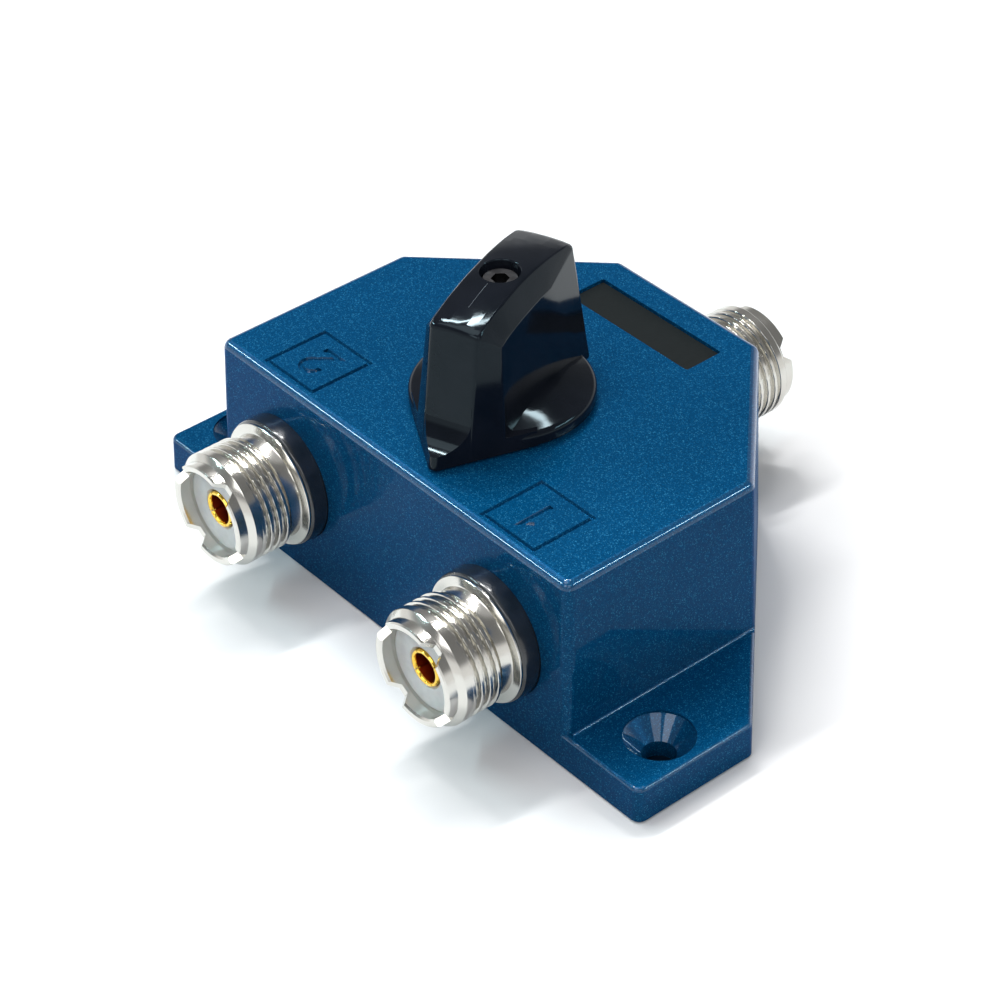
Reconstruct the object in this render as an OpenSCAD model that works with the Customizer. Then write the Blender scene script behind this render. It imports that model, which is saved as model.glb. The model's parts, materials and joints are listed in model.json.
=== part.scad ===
// Two-way coaxial antenna switch.
// A die-cast box carries two antenna connectors on its wide front wall and the common
// connector on its narrow back wall. A pointer knob turns a contact blade inside it, which
// joins the common connector to one antenna connector or to the other.
// X runs across the box, Y from its front wall to its back wall, and Z upwards.
// The origin is the middle of the box's underside.

/* [Housing] */
// Width between the two side walls at the base
body_w = 70.6; // [68:0.1:76]
// Depth of each straight side wall at the base
side_d = 31.8; // [30.5:0.1:35]
// Width of the narrow back wall at the base
back_w = 27.4; // [26.5:0.1:30]
// Height of the box without its knob
body_h = 28.3; // [28:0.1:31]
// Thickness of the upright walls at the base
wall_t = 3.6; // [3.2:0.1:4]
// Thickness of the top wall
top_t = 3.6; // [3:0.1:3.9]
// How far the walls lean inwards from the base to the top
draft_inset = 0.8; // [0.4:0.1:1]
// Radius of the rounded outer edges
edge_r = 1.4; // [0.8:0.1:2]

/* [Mounting ears] */
// Overall width across the two ears
ear_span = 96.4; // [93:0.1:102]
// Thickness of the ears
ear_t = 5.3; // [4:0.1:6]
// Radius of the ears' rounded edges
ear_edge_r = 0.9; // [0.5:0.1:1.4]
// Distance from an ear's end to the middle of its mounting hole
hole_inset = 6.1; // [5.4:0.1:6.4]
// Distance from the front wall to the mounting holes
hole_setback = 9.0; // [7:0.1:10]
// Radius of a mounting hole
hole_r = 2.2; // [1.6:0.1:2.6]
// Radius of a mounting hole's countersink
sink_r = 4.6; // [3.4:0.1:4.9]
// Depth of a mounting hole's countersink
sink_h = 2.9; // [1.5:0.1:3.4]

/* [Label recess] */
// Width of the shallow recess for the label plate
label_w = 22.9; // [18:0.1:24]
// Depth, front to back, of the label recess
label_d = 6.1; // [4:0.1:7]
// Distance from the back wall to the middle of the label recess
label_setback = 8.8; // [7.5:0.1:10]
// How deep the recess is sunk into the top
label_sink = 0.8; // [0.6:0.1:1.2]
// Thickness of the label plate
label_t = 0.4; // [0.2:0.1:0.5]

/* [Base cover] */
// Thickness of the cover that closes the underside
cover_t = 1.6; // [1.2:0.1:2]
// Width of the ledge between the cover and the walls' outer faces
cover_rim = 2.0; // [1.6:0.1:2.4]
// How far the cover sits above the housing's rim
cover_lift = 0.2; // [0.1:0.1:0.4]
// Radius of the bosses that take the cover screws
boss_r = 3.2; // [2.8:0.1:3.6]
// Radius of a cover screw
cover_screw_r = 1.5; // [1.2:0.1:1.6]
// Length of a cover screw
cover_screw_l = 8.0; // [6:0.5:12]

/* [Connectors] */
// Distance between the axes of the two front connectors
port_gap = 42.0; // [41:0.1:43]
// Height of the connector axes above the base
port_h = 13.6; // [13.3:0.1:14]
// Outer diameter of the coupling thread
thread_d = 15.875; // [15.5:0.125:16.25]
// Radius of the toothed rim in front of the thread
rim_r = 7.1; // [6.8:0.05:7.4]
// Radius of the mouth inside the rim
mouth_r = 6.0; // [5.6:0.1:6.3]
// Distance from the front wall to the tips of the rim's teeth
rim_reach = 12.5; // [12:0.1:13.5]
// Depth of the four notches between the teeth
notch_h = 1.35; // [0.8:0.05:1.8]
// Width of a notch at its floor
notch_w = 1.5; // [1:0.1:2]
// Distance from the front wall to the front end of the thread
thread_end = 10.9; // [10.4:0.1:11]
// Distance from the front wall to the back end of the thread
thread_start = 4.5; // [4.2:0.1:5]
// Radius of the plain neck behind the thread
neck_r = 7.2; // [7.1:0.05:7.5]
// Radius of the connector's flange
flange_r = 8.65; // [8.3:0.05:9]
// Thickness of the connector's flange
flange_t = 1.5; // [1.2:0.1:1.8]
// Radius of the black ring between flange and wall
ring_r = 8.9; // [8.7:0.05:9.2]
// Distance that the black ring stands out from the wall
ring_reach = 2.1; // [1.8:0.1:2.4]
// Radius of the shank that passes through the wall
shank_r = 6.9; // [6.6:0.1:7]
// Depth that the shank reaches inwards from the wall's outer face
shank_depth = 8.6; // [8.3:0.1:9]
// Distance from the front wall to the face of the insulator
face_reach = 10.4; // [10:0.1:10.8]
// Outer radius of the centre contact
contact_r = 2.55; // [2.4:0.05:2.8]
// Radius of the bore that takes the plug's centre pin
contact_bore_r = 2.0; // [1.9:0.05:2.1]
// Depth of the centre contact's bore
contact_bore_h = 9.0; // [7:0.5:10]
// Radius of the centre contact's tail inside the box
tail_r = 1.5; // [1.3:0.1:1.7]
// Width across the flats of the lock nut
nut_af = 18.0; // [17.5:0.1:18.4]
// Thickness of the lock nut
nut_t = 3.0; // [2.5:0.1:3.2]
// Thickness of the toothed washer under the nut
washer_t = 0.8; // [0.6:0.1:1]
// Radius of the toothed washer
washer_r = 9.2; // [8.8:0.1:9.6]

/* [Knob] */
// Distance from the front wall to the knob's axis
axis_setback = 20.2; // [19.8:0.1:20.8]
// Angle between the pointer and the box's middle line in each position
throw_angle = 21; // [19:1:23]
// Radius of the knob's round skirt
skirt_r = 12.05; // [11.6:0.05:12.5]
// Height of the skirt's upright rim
skirt_h = 1.9; // [1.5:0.1:2.4]
// Height of the knob's crown above the box
crown_h = 19.2; // [18.5:0.1:20]
// Height lost from the crown to each end of the grip
crown_drop = 1.5; // [1:0.1:2]
// Half of the grip's length at its top
grip_half_l = 11.7; // [11:0.1:12]
// Half of the grip's width along its top edge
grip_top_half_w = 3.2; // [3:0.1:3.6]
// Half of the grip's width under its top bevel
grip_mid_half_w = 5.4; // [5:0.1:5.6]
// Distance from the knob's axis to the tip of its beak
beak_reach = 18.1; // [17.6:0.1:19]
// Radius of the beak's rounded tip
beak_tip_r = 1.0; // [0.8:0.1:1.2]
// Radius of the hollow between the grip's front and the beak
beak_hollow_r = 4.2; // [4:0.1:4.6]
// Gap between the knob and the box
knob_gap = 0.4; // [0.3:0.1:0.6]
// Radius of the well for the knob screw
screw_well_r = 2.6; // [2.4:0.1:2.9]
// Depth of that well below the knob's crown
screw_sink = 3.6; // [3.2:0.1:4.2]

/* [Shaft and rotor] */
// Radius of the shaft
shaft_r = 3.0; // [2.8:0.1:3.2]
// Outer radius of the shaft's bush
bush_r = 4.8; // [4.4:0.1:5.2]
// Radius of the detent disc
disc_r = 12.0; // [11.5:0.1:12.5]
// Thickness of the detent disc
disc_t = 4.6; // [4.4:0.1:5]
// Thickness of the fixed detent plate
plate_t = 1.2; // [1:0.1:1.4]
// Radius of the circle on which the detent balls run
ball_track_r = 9.0; // [8.6:0.1:9.4]
// Radius of a detent ball
ball_r = 1.5; // [1.3:0.1:1.6]
// Radius of the stop pin
stop_r = 1.0; // [0.8:0.1:1.2]
// Radius of the insulating hub under the disc
hub_r = 6.0; // [5.6:0.1:6.4]
// Radius of the hub's neck inside the blade's ring
neck_hub_r = 4.2; // [4:0.1:4.4]
// Distance from the knob's axis to the tip of the contact blade
blade_reach = 14.0; // [13.6:0.1:14.3]
// Width of the blade's arm
blade_w = 4.0; // [3.6:0.1:4.4]
// Thickness of the contact blade
blade_t = 1.0; // [0.8:0.1:1.2]
// Thickness of the fixed contact springs
leaf_t = 0.5; // [0.4:0.1:0.7]

/* [Fits] */
// Radial clearance of a shaft or pin that turns or slides
run_gap = 0.05; // [0.02:0.01:0.08]
// Clearance between pieces that are assembled and stay put
seat_gap = 0.05; // [0.03:0.01:0.1]

/* [Hidden] */
$fn = 64;
facet_fn = 32;
cut = 1;

half_w = body_w / 2;
half_back = back_w / 2;
half_span = ear_span / 2;
hole_gap = ear_span - 2 * hole_inset;
body_d = side_d + half_w - half_back;
front_y = -body_d / 2;
back_y = body_d / 2;
side_y = front_y + side_d;
ear_side_y = side_y - (half_span - half_w);
axis_y = front_y + axis_setback;
ceiling_z = body_h - top_t;
cover_z = cover_lift;
floor_z = cover_lift + cover_t;
hull_slab = 0.01;
// Step between the ears' upright faces and the walls above them
ear_step = 0.15;
// Move of a 45 degree wall's corner for each millimetre that the walls move inwards
corner_shift = tan(22.5);

// Corners of the box's outline, its walls moved inwards by inset, right side then left
function half_outline(inset) = [
    [half_w - inset, front_y + inset],
    [half_w - inset, side_y - inset * corner_shift],
    [half_back - inset * corner_shift, back_y - inset]
];
function mirrored(points) = [for (i = [len(points) - 1 : -1 : 0]) [-points[i][0], points[i][1]]];
function outline(inset) = concat(half_outline(inset), mirrored(half_outline(inset)));
function ear_half_outline(inset) = [
    [half_span - inset, front_y + inset + ear_step],
    [half_span - inset, ear_side_y - inset * corner_shift - ear_step],
    [half_back - inset * corner_shift, back_y - inset - ear_step]
];
function ear_outline(inset) = concat(ear_half_outline(inset), mirrored(ear_half_outline(inset)));
function arc(centre, r, a0, a1, steps) = [
    for (i = [0 : steps]) centre + r * [cos(a0 + (a1 - a0) * i / steps), sin(a0 + (a1 - a0) * i / steps)]
];

// Cap of a rounded corner: a quarter round turned about its axis
module corner_cap(r) {
    rotate_extrude($fn = facet_fn)
        polygon(concat([[0, 0]], arc([0, 0], r, 0, 90, 6)));
}

// Leaning prism with rounded upright and upper edges, from a list of low and of high corners
module cast_block(low, high, r, h) {
    hull() {
        for (p = low)
            translate([p[0], p[1], 0])
                cylinder(r = r, h = hull_slab, $fn = facet_fn);
        for (p = high)
            translate([p[0], p[1], h - r])
                corner_cap(r);
    }
}

ear_lean = draft_inset * (ear_t - ear_edge_r) / (body_h - edge_r);
// How far the bosses run into the walls beside them
boss_bite = 0.8;
boss_off = wall_t + boss_r - boss_bite;
boss_front_y = front_y + wall_t + washer_t + nut_t + boss_r + 1.1;
boss_back_x = half_back + boss_r + wall_t + 0.25;
boss_spots = [
    [half_w - boss_off, boss_front_y],
    [boss_back_x, side_y + half_w - boss_back_x - boss_off * sqrt(2)]
];
boss_places = concat(boss_spots, mirrored(boss_spots));
boss_hole_h = cover_screw_l - cover_t + 1;

// Die-cast box with its ears, open below
module housing() {
    color([0.02, 0.2, 0.36])
    difference() {
        union() {
            difference() {
                union() {
                    cast_block(outline(edge_r), outline(edge_r + draft_inset), edge_r, body_h);
                    cast_block(
                        ear_outline(ear_edge_r), ear_outline(ear_edge_r + ear_lean), ear_edge_r, ear_t);
                }
                translate([0, 0, -cut])
                    linear_extrude(ceiling_z + cut)
                        polygon(outline(wall_t));
            }
            for (p = boss_places)
                translate([p[0], p[1], floor_z])
                    cylinder(r = boss_r, h = ceiling_z - floor_z + seat_gap);
        }
        translate([0, 0, -cut])
            linear_extrude(floor_z + cut)
                polygon(outline(cover_rim));
        for (p = boss_places)
            translate([p[0], p[1], 0])
                cylinder(r = cover_screw_r + seat_gap, h = floor_z + boss_hole_h);
        for (side = [-1, 1])
            translate([side * hole_gap / 2, front_y + hole_setback, 0])
                ear_hole();
        for (i = [0 : 2])
            at_port(i)
                port_cut();
        translate([0, back_y - label_setback, body_h - label_sink])
            linear_extrude(label_sink + cut)
                square([label_w, label_d], center = true);
        translate([0, axis_y, ceiling_z - cut])
            cylinder(r = bush_r + seat_gap, h = top_t + 2 * cut);
        stop_pin_seat();
    }
}

// Countersunk hole through an ear
module ear_hole() {
    translate([0, 0, -cut])
        cylinder(r = hole_r, h = ear_t + 2 * cut);
    translate([0, 0, ear_t - sink_h])
        cylinder(r1 = hole_r, r2 = sink_r, h = sink_h);
    translate([0, 0, ear_t])
        cylinder(r = sink_r, h = cut);
}

// Places a connector piece: local +Z points out of the box along the connector's axis
port_x = [port_gap / 2, -port_gap / 2, 0];
port_turn = [0, 0, 180];
module at_port(i) {
    rotate([0, 0, port_turn[i]])
        translate([port_x[i], front_y, port_h])
            rotate([90, 0, 0])
                children();
}

// Shallow seat for the black ring, level across the leaning wall, and the hole for the shank
ring_seat = draft_inset * (port_h + ring_r) / body_h;
nut_room = 0.25;
module port_cut() {
    translate([0, 0, -wall_t - cut])
        cylinder(r = shank_r + seat_gap, h = wall_t + 2 * cut);
    translate([0, 0, -ring_seat])
        cylinder(r = ring_r + 3 * seat_gap, h = ring_seat + cut);
    // Room for the nut's corners where the top wall comes low
    translate([0, 0, nut_z - nut_room])
        cylinder(r = nut_af / 2 / cos(30) + nut_room, h = nut_t + washer_t + nut_room);
}

// Cover that closes the underside
module base_cover() {
    color([0.62, 0.63, 0.64])
    difference() {
        translate([0, 0, cover_z])
            linear_extrude(cover_t - seat_gap)
                polygon(outline(cover_rim + 3 * seat_gap));
        for (p = boss_places)
            translate([p[0], p[1], cover_z])
                countersink(cover_screw_r + 2 * seat_gap, screw_head_r + 2 * seat_gap);
    }
}

// Clearance hole of radius r, opened downwards to radius r_head
module countersink(r, r_head) {
    translate([0, 0, -cut])
        cylinder(r = r, h = cover_t + 2 * cut);
    cylinder(r1 = r_head, r2 = r, h = r_head - r);
    translate([0, 0, -cut])
        cylinder(r = r_head, h = cut);
}

screw_head_r = cover_screw_r * 1.8;
recess_across = cover_screw_r * 0.9;
module cover_screws() {
    color([0.75, 0.75, 0.75])
    for (p = boss_places)
        translate([p[0], p[1], cover_z])
            difference() {
                union() {
                    cylinder(r1 = screw_head_r, r2 = cover_screw_r, h = screw_head_r - cover_screw_r);
                    cylinder(r = cover_screw_r, h = cover_screw_l);
                }
                for (turn = [0, 90])
                    rotate([0, 0, turn])
                        translate([-recess_across, -cover_screw_r / 6, -cut])
                            cube([2 * recess_across, cover_screw_r / 3, cut + screw_head_r - cover_screw_r]);
            }
}

module label_plate() {
    color([0.06, 0.06, 0.07])
    translate([0, back_y - label_setback, body_h - label_sink])
        linear_extrude(label_t)
            square([label_w - 6 * seat_gap, label_d - 6 * seat_gap], center = true);
}

// ---- Connectors ----

// Turned shell: toothed rim, thread body, neck, flange and shank
thread_r = thread_d / 2;
thread_chamfer = thread_r - rim_r;
shell_step_z = 0;
shell_rear_r = mouth_r - 1.4;
module port_shell() {
    color([0.78, 0.78, 0.76])
    difference() {
        rotate_extrude()
            polygon([
                [shell_rear_r, -shank_depth],
                [shank_r, -shank_depth],
                [shank_r, ring_reach],
                [flange_r, ring_reach],
                [flange_r, ring_reach + flange_t],
                [neck_r, ring_reach + flange_t],
                [neck_r, thread_start],
                [thread_r, thread_start],
                [thread_r, thread_end - thread_chamfer / 2],
                [rim_r, thread_end],
                [rim_r, rim_reach],
                [mouth_r, rim_reach],
                [mouth_r, shell_step_z],
                [shell_rear_r, shell_step_z]
            ]);
        for (turn = [0, 90])
            rotate([0, 0, turn + notch_turn])
                rim_notches();
    }
}

// Two opposite notches with slanted sides
notch_turn = 57;
notch_slant = 0.8;
module rim_notches() {
    translate([0, 0, rim_reach - notch_h])
        rotate([90, 0, 90])
            translate([0, 0, -rim_r - cut])
                linear_extrude(2 * rim_r + 2 * cut)
                    polygon([
                        [-notch_w / 2, 0],
                        [notch_w / 2, 0],
                        [notch_w / 2 + notch_slant * (notch_h + cut), notch_h + cut],
                        [-notch_w / 2 - notch_slant * (notch_h + cut), notch_h + cut]
                    ]);
}

// Stepped insulator between the shell and the centre contact
contact_step_z = shell_step_z;
module port_insulator() {
    color([0.8, 0.81, 0.8])
    rotate_extrude()
        polygon([
            [contact_r + run_gap / 2, face_reach],
            [mouth_r - run_gap / 2, face_reach],
            [mouth_r - run_gap / 2, shell_step_z + run_gap],
            [shell_rear_r - run_gap / 2, shell_step_z + run_gap],
            [shell_rear_r - run_gap / 2, -shank_depth],
            [tail_r + run_gap / 2, -shank_depth],
            [tail_r + run_gap / 2, contact_step_z],
            [contact_r + run_gap / 2, contact_step_z]
        ]);
}

// Gold-plated centre contact: a bored head in front and a solid tail inside the box
tail_reach = 4.4;
tail_depth = shank_depth + tail_reach;
contact_lip = 0.3;
module port_contact() {
    color([0.85, 0.62, 0.15])
    rotate_extrude()
        polygon([
            [0, -tail_depth],
            [tail_r, -tail_depth],
            [tail_r, contact_step_z + run_gap],
            [contact_r, contact_step_z + run_gap],
            [contact_r, face_reach],
            [contact_r - contact_lip / 2, face_reach + contact_lip / 2],
            [contact_bore_r, face_reach + contact_lip / 2],
            [contact_bore_r, face_reach - contact_bore_h],
            [0, face_reach - contact_bore_h]
        ]);
}

module port_ring() {
    color([0.04, 0.045, 0.05])
    rotate_extrude()
        polygon([
            [shank_r + seat_gap, -ring_seat],
            [ring_r, -ring_seat],
            [ring_r, ring_reach - 2 * contact_lip],
            [ring_r - contact_lip, ring_reach - contact_lip / 2],
            [ring_r - 2 * contact_lip, ring_reach],
            [shank_r + seat_gap, ring_reach]
        ]);
}

// Internal-tooth lock washer against the inside of the wall
tooth_count = 10;
module port_washer() {
    color([0.7, 0.7, 0.68])
    translate([0, 0, -wall_t - washer_t])
        difference() {
            cylinder(r = washer_r, h = washer_t);
            translate([0, 0, -cut])
                cylinder(r = shank_r + seat_gap, h = washer_t + 2 * cut);
            for (i = [0 : tooth_count - 1])
                rotate([0, 0, 360 * i / tooth_count])
                    translate([shank_r, 0, -cut])
                        cylinder(r = (washer_r - shank_r) / 3, h = washer_t + 2 * cut);
        }
}

nut_z = -wall_t - washer_t - nut_t;
module port_nut() {
    color([0.76, 0.76, 0.74])
    translate([0, 0, nut_z])
        difference() {
            cylinder(r = nut_af / 2 / cos(30), h = nut_t, $fn = 6);
            translate([0, 0, -cut])
                cylinder(r = shank_r + seat_gap, h = nut_t + 2 * cut);
        }
}

// ---- Fixed contacts inside the box ----

// Everything that carries the signal lies in one plane, level with the connector axes
leaf_gap = blade_t + 2 * run_gap;
jaw_in_x = blade_reach * sin(throw_angle) * 0.5;
jaw_out_x = blade_reach * sin(throw_angle) + blade_w * 0.8;
jaw_tip_y = axis_y - blade_reach - seat_gap * 4;
jaw_back_y = axis_y - blade_reach * 0.62;
jaw_web = 1.2;
clamp_t = 2.0;
clamp_y = front_y + tail_depth - clamp_t - seat_gap;
clamp_wall = 1.4;
clamp_r = tail_r + clamp_wall;
bar_h = leaf_gap + 2 * leaf_t;

// Spring jaw beside the blade's path and the bar to an antenna connector's tail
module port_strip() {
    color([0.72, 0.53, 0.2])
    difference() {
        union() {
            for (z = [-leaf_gap / 2 - leaf_t, leaf_gap / 2])
                translate([jaw_in_x, jaw_tip_y, port_h + z])
                    cube([jaw_out_x - jaw_in_x, jaw_back_y - jaw_tip_y, leaf_t]);
            translate([jaw_out_x, jaw_tip_y, port_h - bar_h / 2])
                cube([jaw_web, clamp_y + clamp_t - jaw_tip_y, bar_h]);
            translate([jaw_out_x, clamp_y, port_h - bar_h / 2])
                cube([port_gap / 2 - jaw_out_x, clamp_t, bar_h]);
            translate([port_gap / 2, clamp_y + clamp_t, port_h])
                rotate([90, 0, 0])
                    cylinder(r = clamp_r, h = clamp_t);
        }
        translate([port_gap / 2, clamp_y + clamp_t + cut, port_h])
            rotate([90, 0, 0])
                cylinder(r = tail_r + run_gap, h = clamp_t + 2 * cut);
    }
}

// Ring around the rotor's neck and the bar to the common connector's tail
common_ring_t = 0.8;
wiper_t = 0.3;
blade_low_z = port_h - blade_t / 2;
common_top_z = blade_low_z - wiper_t - 2 * run_gap;
ring_margin = 1.5;
common_ring_r = hub_r + ring_margin;
common_clamp_y = back_y - tail_depth + seat_gap;
strip_w = 5.0;
module common_strip() {
    color([0.72, 0.53, 0.2])
    difference() {
        union() {
            translate([0, axis_y, common_top_z - common_ring_t])
                cylinder(r = common_ring_r, h = common_ring_t);
            translate([-strip_w / 2, axis_y, common_top_z - common_ring_t])
                cube([strip_w, common_clamp_y + clamp_t - axis_y, common_ring_t]);
            translate([0, common_clamp_y + clamp_t, port_h])
                rotate([90, 0, 0])
                    cylinder(r = clamp_r, h = clamp_t);
            translate([-strip_w / 2, common_clamp_y, common_top_z - common_ring_t])
                cube([strip_w, clamp_t, port_h - common_top_z + common_ring_t - tail_r / 2]);
        }
        translate([0, common_clamp_y + clamp_t + cut, port_h])
            rotate([90, 0, 0])
                cylinder(r = tail_r + run_gap, h = clamp_t + 2 * cut);
        translate([0, axis_y, 0])
            cylinder(r = neck_hub_r + 6 * run_gap, h = common_top_z + cut);
    }
}

// ---- Turning pieces ----

// Places a piece on the knob's axis, with local +X along the pointer
module on_axis() {
    translate([0, axis_y, 0])
        rotate([0, 0, throw_angle - 90])
            children();
}

knob_z = body_h + knob_gap;
crown_z = body_h + crown_h;
crown_r = (grip_half_l * grip_half_l + crown_drop * crown_drop) / (2 * crown_drop);
crown_steps = 8;
grip_round = 0.5;
bevel_h = 2.9;
front_lean = tan(9.8);
flank_lean = tan(4.3);
wall_lean = tan(6.8);
function crown_at(x) = crown_z - crown_r + sqrt(crown_r * crown_r - x * x);
function front_at(z) = grip_half_l + (crown_at(grip_half_l) - z) * front_lean;
// Half of the grip's width at height z, down to the skirt
function flank_at(z) = grip_mid_half_w + (crown_z - bevel_h - z) * flank_lean;

// The beak's walls lie a little inside the skirt's circle and touch the circle of the tip
beak_mid = beak_reach - beak_tip_r;
wall_r = skirt_r - 0.06;
wall_turn = acos((wall_r - beak_tip_r) / beak_mid);
// Distance along the pointer at which a beak wall, at height z, is y away from the middle line
function wall_at(y, z) = (wall_r - (z - knob_z) * wall_lean - y * sin(wall_turn)) / cos(wall_turn);

// Points of one side of the grip; y is half of its width there
bevel_z = crown_z - bevel_h;
crown_points = [
    for (i = [0 : crown_steps])
        let (x = -grip_half_l + 2 * grip_half_l * i / crown_steps)
            [x, grip_top_half_w, crown_at(x)]
];
bevel_points = [
    for (i = [0 : crown_steps / 2])
        let (x = -grip_half_l * 0.36 + grip_half_l * 1.16 * i / (crown_steps / 2))
            [x, grip_mid_half_w, crown_at(x) - bevel_h]
];
grip_points = concat(crown_points, bevel_points, [
    [front_at(knob_z), grip_top_half_w, knob_z],
    [wall_at(flank_at(knob_z), knob_z), flank_at(knob_z), knob_z],
    [-grip_half_l, flank_at(knob_z) - grip_round / 2, knob_z]
]);

// Straight-sided grip with a crowned top, bevelled edges and a leaning front
module grip() {
    hull()
        for (p = grip_points)
            for (side = [-1, 1])
                translate([
                    p[0] - sign(p[0]) * grip_round,
                    side * (p[1] - grip_round),
                    p[2] > knob_z ? p[2] - grip_round : p[2]
                ])
                    if (p[2] > knob_z)
                        sphere(r = grip_round, $fn = 14);
                    else
                        cylinder(r = grip_round, h = hull_slab, $fn = 14);
}

// Wedge between the two beak walls, leaning inwards as they rise
beak_top_z = knob_z + skirt_h;
beak_lip = 0.6;
hollow_x = front_at(beak_top_z + beak_hollow_r) + beak_hollow_r;
hollow_end = acos((hollow_x - beak_reach + beak_lip) / beak_hollow_r);
lip_z = beak_top_z + beak_hollow_r * (1 - sin(hollow_end));
beak_high_z = beak_top_z + beak_hollow_r + 4 * seat_gap;
beak_post_r = 0.3;
module beak_wedge() {
    hull()
        for (z = [knob_z, beak_high_z])
            for (side = [-1, 1]) {
                translate([beak_mid, 0, z])
                    cylinder(r = beak_tip_r - (z - knob_z) * wall_lean, h = hull_slab, $fn = facet_fn);
                rotate([0, 0, side * wall_turn])
                    translate([wall_r - (z - knob_z) * wall_lean - beak_post_r, 0, z])
                        cylinder(r = beak_post_r, h = hull_slab, $fn = facet_fn);
            }
}

// Beak, low beside the grip and hollowed where it meets the grip's front
module beak() {
    difference() {
        intersection() {
            beak_wedge();
            union() {
                translate([0, -skirt_r, knob_z])
                    cube([beak_reach + cut, 2 * skirt_r, skirt_h]);
                rotate([90, 0, 90])
                    linear_extrude(beak_reach + cut)
                        polygon([
                            [-flank_at(knob_z), knob_z - cut],
                            [flank_at(knob_z), knob_z - cut],
                            [flank_at(beak_high_z), beak_high_z + cut],
                            [-flank_at(beak_high_z), beak_high_z + cut]
                        ]);
            }
        }
        translate([0, skirt_r, 0])
            rotate([90, 0, 0])
                linear_extrude(2 * skirt_r)
                    polygon(concat(
                        arc([hollow_x, beak_top_z + beak_hollow_r], beak_hollow_r, 180, 180 + hollow_end, 8),
                        arc([beak_reach - beak_lip, lip_z - beak_lip], beak_lip, 90, 0, 4),
                        [[beak_reach + cut, knob_z], [beak_reach + 2 * cut, beak_high_z + 2 * cut]],
                        [[front_at(beak_high_z), beak_high_z + 2 * cut]]
                    ));
    }
}

dome_h = 1.2;
dome_round = 0.9;
// Low dome of the skirt above its rim
module skirt() {
    rotate_extrude()
        polygon(concat(
            [[0, 0], [skirt_r, 0], [skirt_r, skirt_h - dome_round / 2]],
            arc([skirt_r - dome_round, skirt_h - dome_round / 2], dome_round, 0, 70, 6),
            [[grip_mid_half_w, skirt_h + dome_h], [0, skirt_h + dome_h]]
        ));
}

screw_web = 3.4;
screw_seat_z = crown_z - screw_sink;
shaft_top_z = screw_seat_z - screw_web;
flat_x = shaft_r * 0.8;
knob_hollow_r = skirt_r - 2.4;
knob_hollow_h = 1.6;
knob_boss_r = shaft_r + 2.0;
module knob() {
    color([0.05, 0.055, 0.06])
    on_axis()
        difference() {
            union() {
                translate([0, 0, knob_z])
                    skirt();
                beak();
                grip();
            }
            difference() {
                translate([0, 0, knob_z - cut])
                    cylinder(r = knob_hollow_r, h = knob_hollow_h + cut);
                translate([0, 0, knob_z + clip_z_room])
                    cylinder(r = knob_boss_r, h = knob_hollow_h);
            }
            intersection() {
                translate([0, 0, knob_z - cut])
                    cylinder(r = shaft_r + seat_gap, h = shaft_top_z + seat_gap - knob_z + cut);
                translate([-2 * shaft_r, -2 * shaft_r, knob_z - 2 * cut])
                    cube([2 * shaft_r + flat_x + seat_gap, 4 * shaft_r, crown_z]);
            }
            translate([0, 0, knob_z])
                cylinder(r = knob_screw_r + 2 * seat_gap, h = crown_h);
            translate([0, 0, screw_seat_z])
                cylinder(r = screw_well_r, h = crown_h);
        }
}

// Cap screw down the knob's axis, with a hexagonal socket
knob_screw_r = 1.25;
knob_screw_head_r = screw_well_r - 0.4;
knob_screw_head_h = 2.4;
knob_screw_l = 8.0;
knob_screw_socket = 1.2;
module knob_screw() {
    color([0.16, 0.16, 0.17])
    on_axis()
        difference() {
            union() {
                translate([0, 0, screw_seat_z + seat_gap])
                    cylinder(r = knob_screw_head_r, h = knob_screw_head_h);
                translate([0, 0, screw_seat_z + seat_gap - knob_screw_l])
                    cylinder(r = knob_screw_r, h = knob_screw_l + seat_gap);
            }
            translate([0, 0, screw_seat_z + knob_screw_head_h - knob_screw_socket])
                cylinder(r = knob_screw_head_r * 0.55, h = knob_screw_socket + cut, $fn = 6);
        }
}

// Shaft with a flat for the knob, a groove for its clip and a collar under the bush
bush_stand = 0.1;
clip_t = 0.6;
clip_z_room = clip_t + 0.3;
clip_z = body_h + bush_stand + seat_gap;
groove_r = shaft_r - 0.6;
collar_r = shaft_r + 1.2;
bush_flange_t = 0.8;
plate_z = ceiling_z - plate_t;
bush_low_z = plate_z - bush_flange_t;
disc_top_z = bush_low_z + bush_flange_t - 3 * run_gap;
collar_t = 1.0;
collar_top_z = bush_low_z - run_gap;
disc_low_z = disc_top_z - disc_t;
hub_depth = 3.4;
shaft_low_z = port_h - hub_depth;
hub_low_z = shaft_low_z + 0.2;
module shaft() {
    color([0.7, 0.7, 0.7])
    on_axis()
        difference() {
            union() {
                translate([0, 0, shaft_low_z + 0.4])
                    cylinder(r = shaft_r, h = shaft_top_z - shaft_low_z - 0.4);
                translate([0, 0, collar_top_z - collar_t])
                    cylinder(r = collar_r, h = collar_t);
            }
            translate([flat_x, -shaft_r, knob_z])
                cube([shaft_r, 2 * shaft_r, crown_h]);
            translate([0, 0, clip_z])
                difference() {
                    cylinder(r = shaft_r + cut, h = clip_t + seat_gap);
                    cylinder(r = groove_r, h = clip_t + seat_gap);
                }
            translate([0, 0, screw_seat_z - knob_screw_l - cut])
                cylinder(r = knob_screw_r + seat_gap, h = knob_screw_l + cut);
            cylinder(r = rotor_screw_r + seat_gap, h = shaft_low_z + rotor_screw_l);
        }
}

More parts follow.
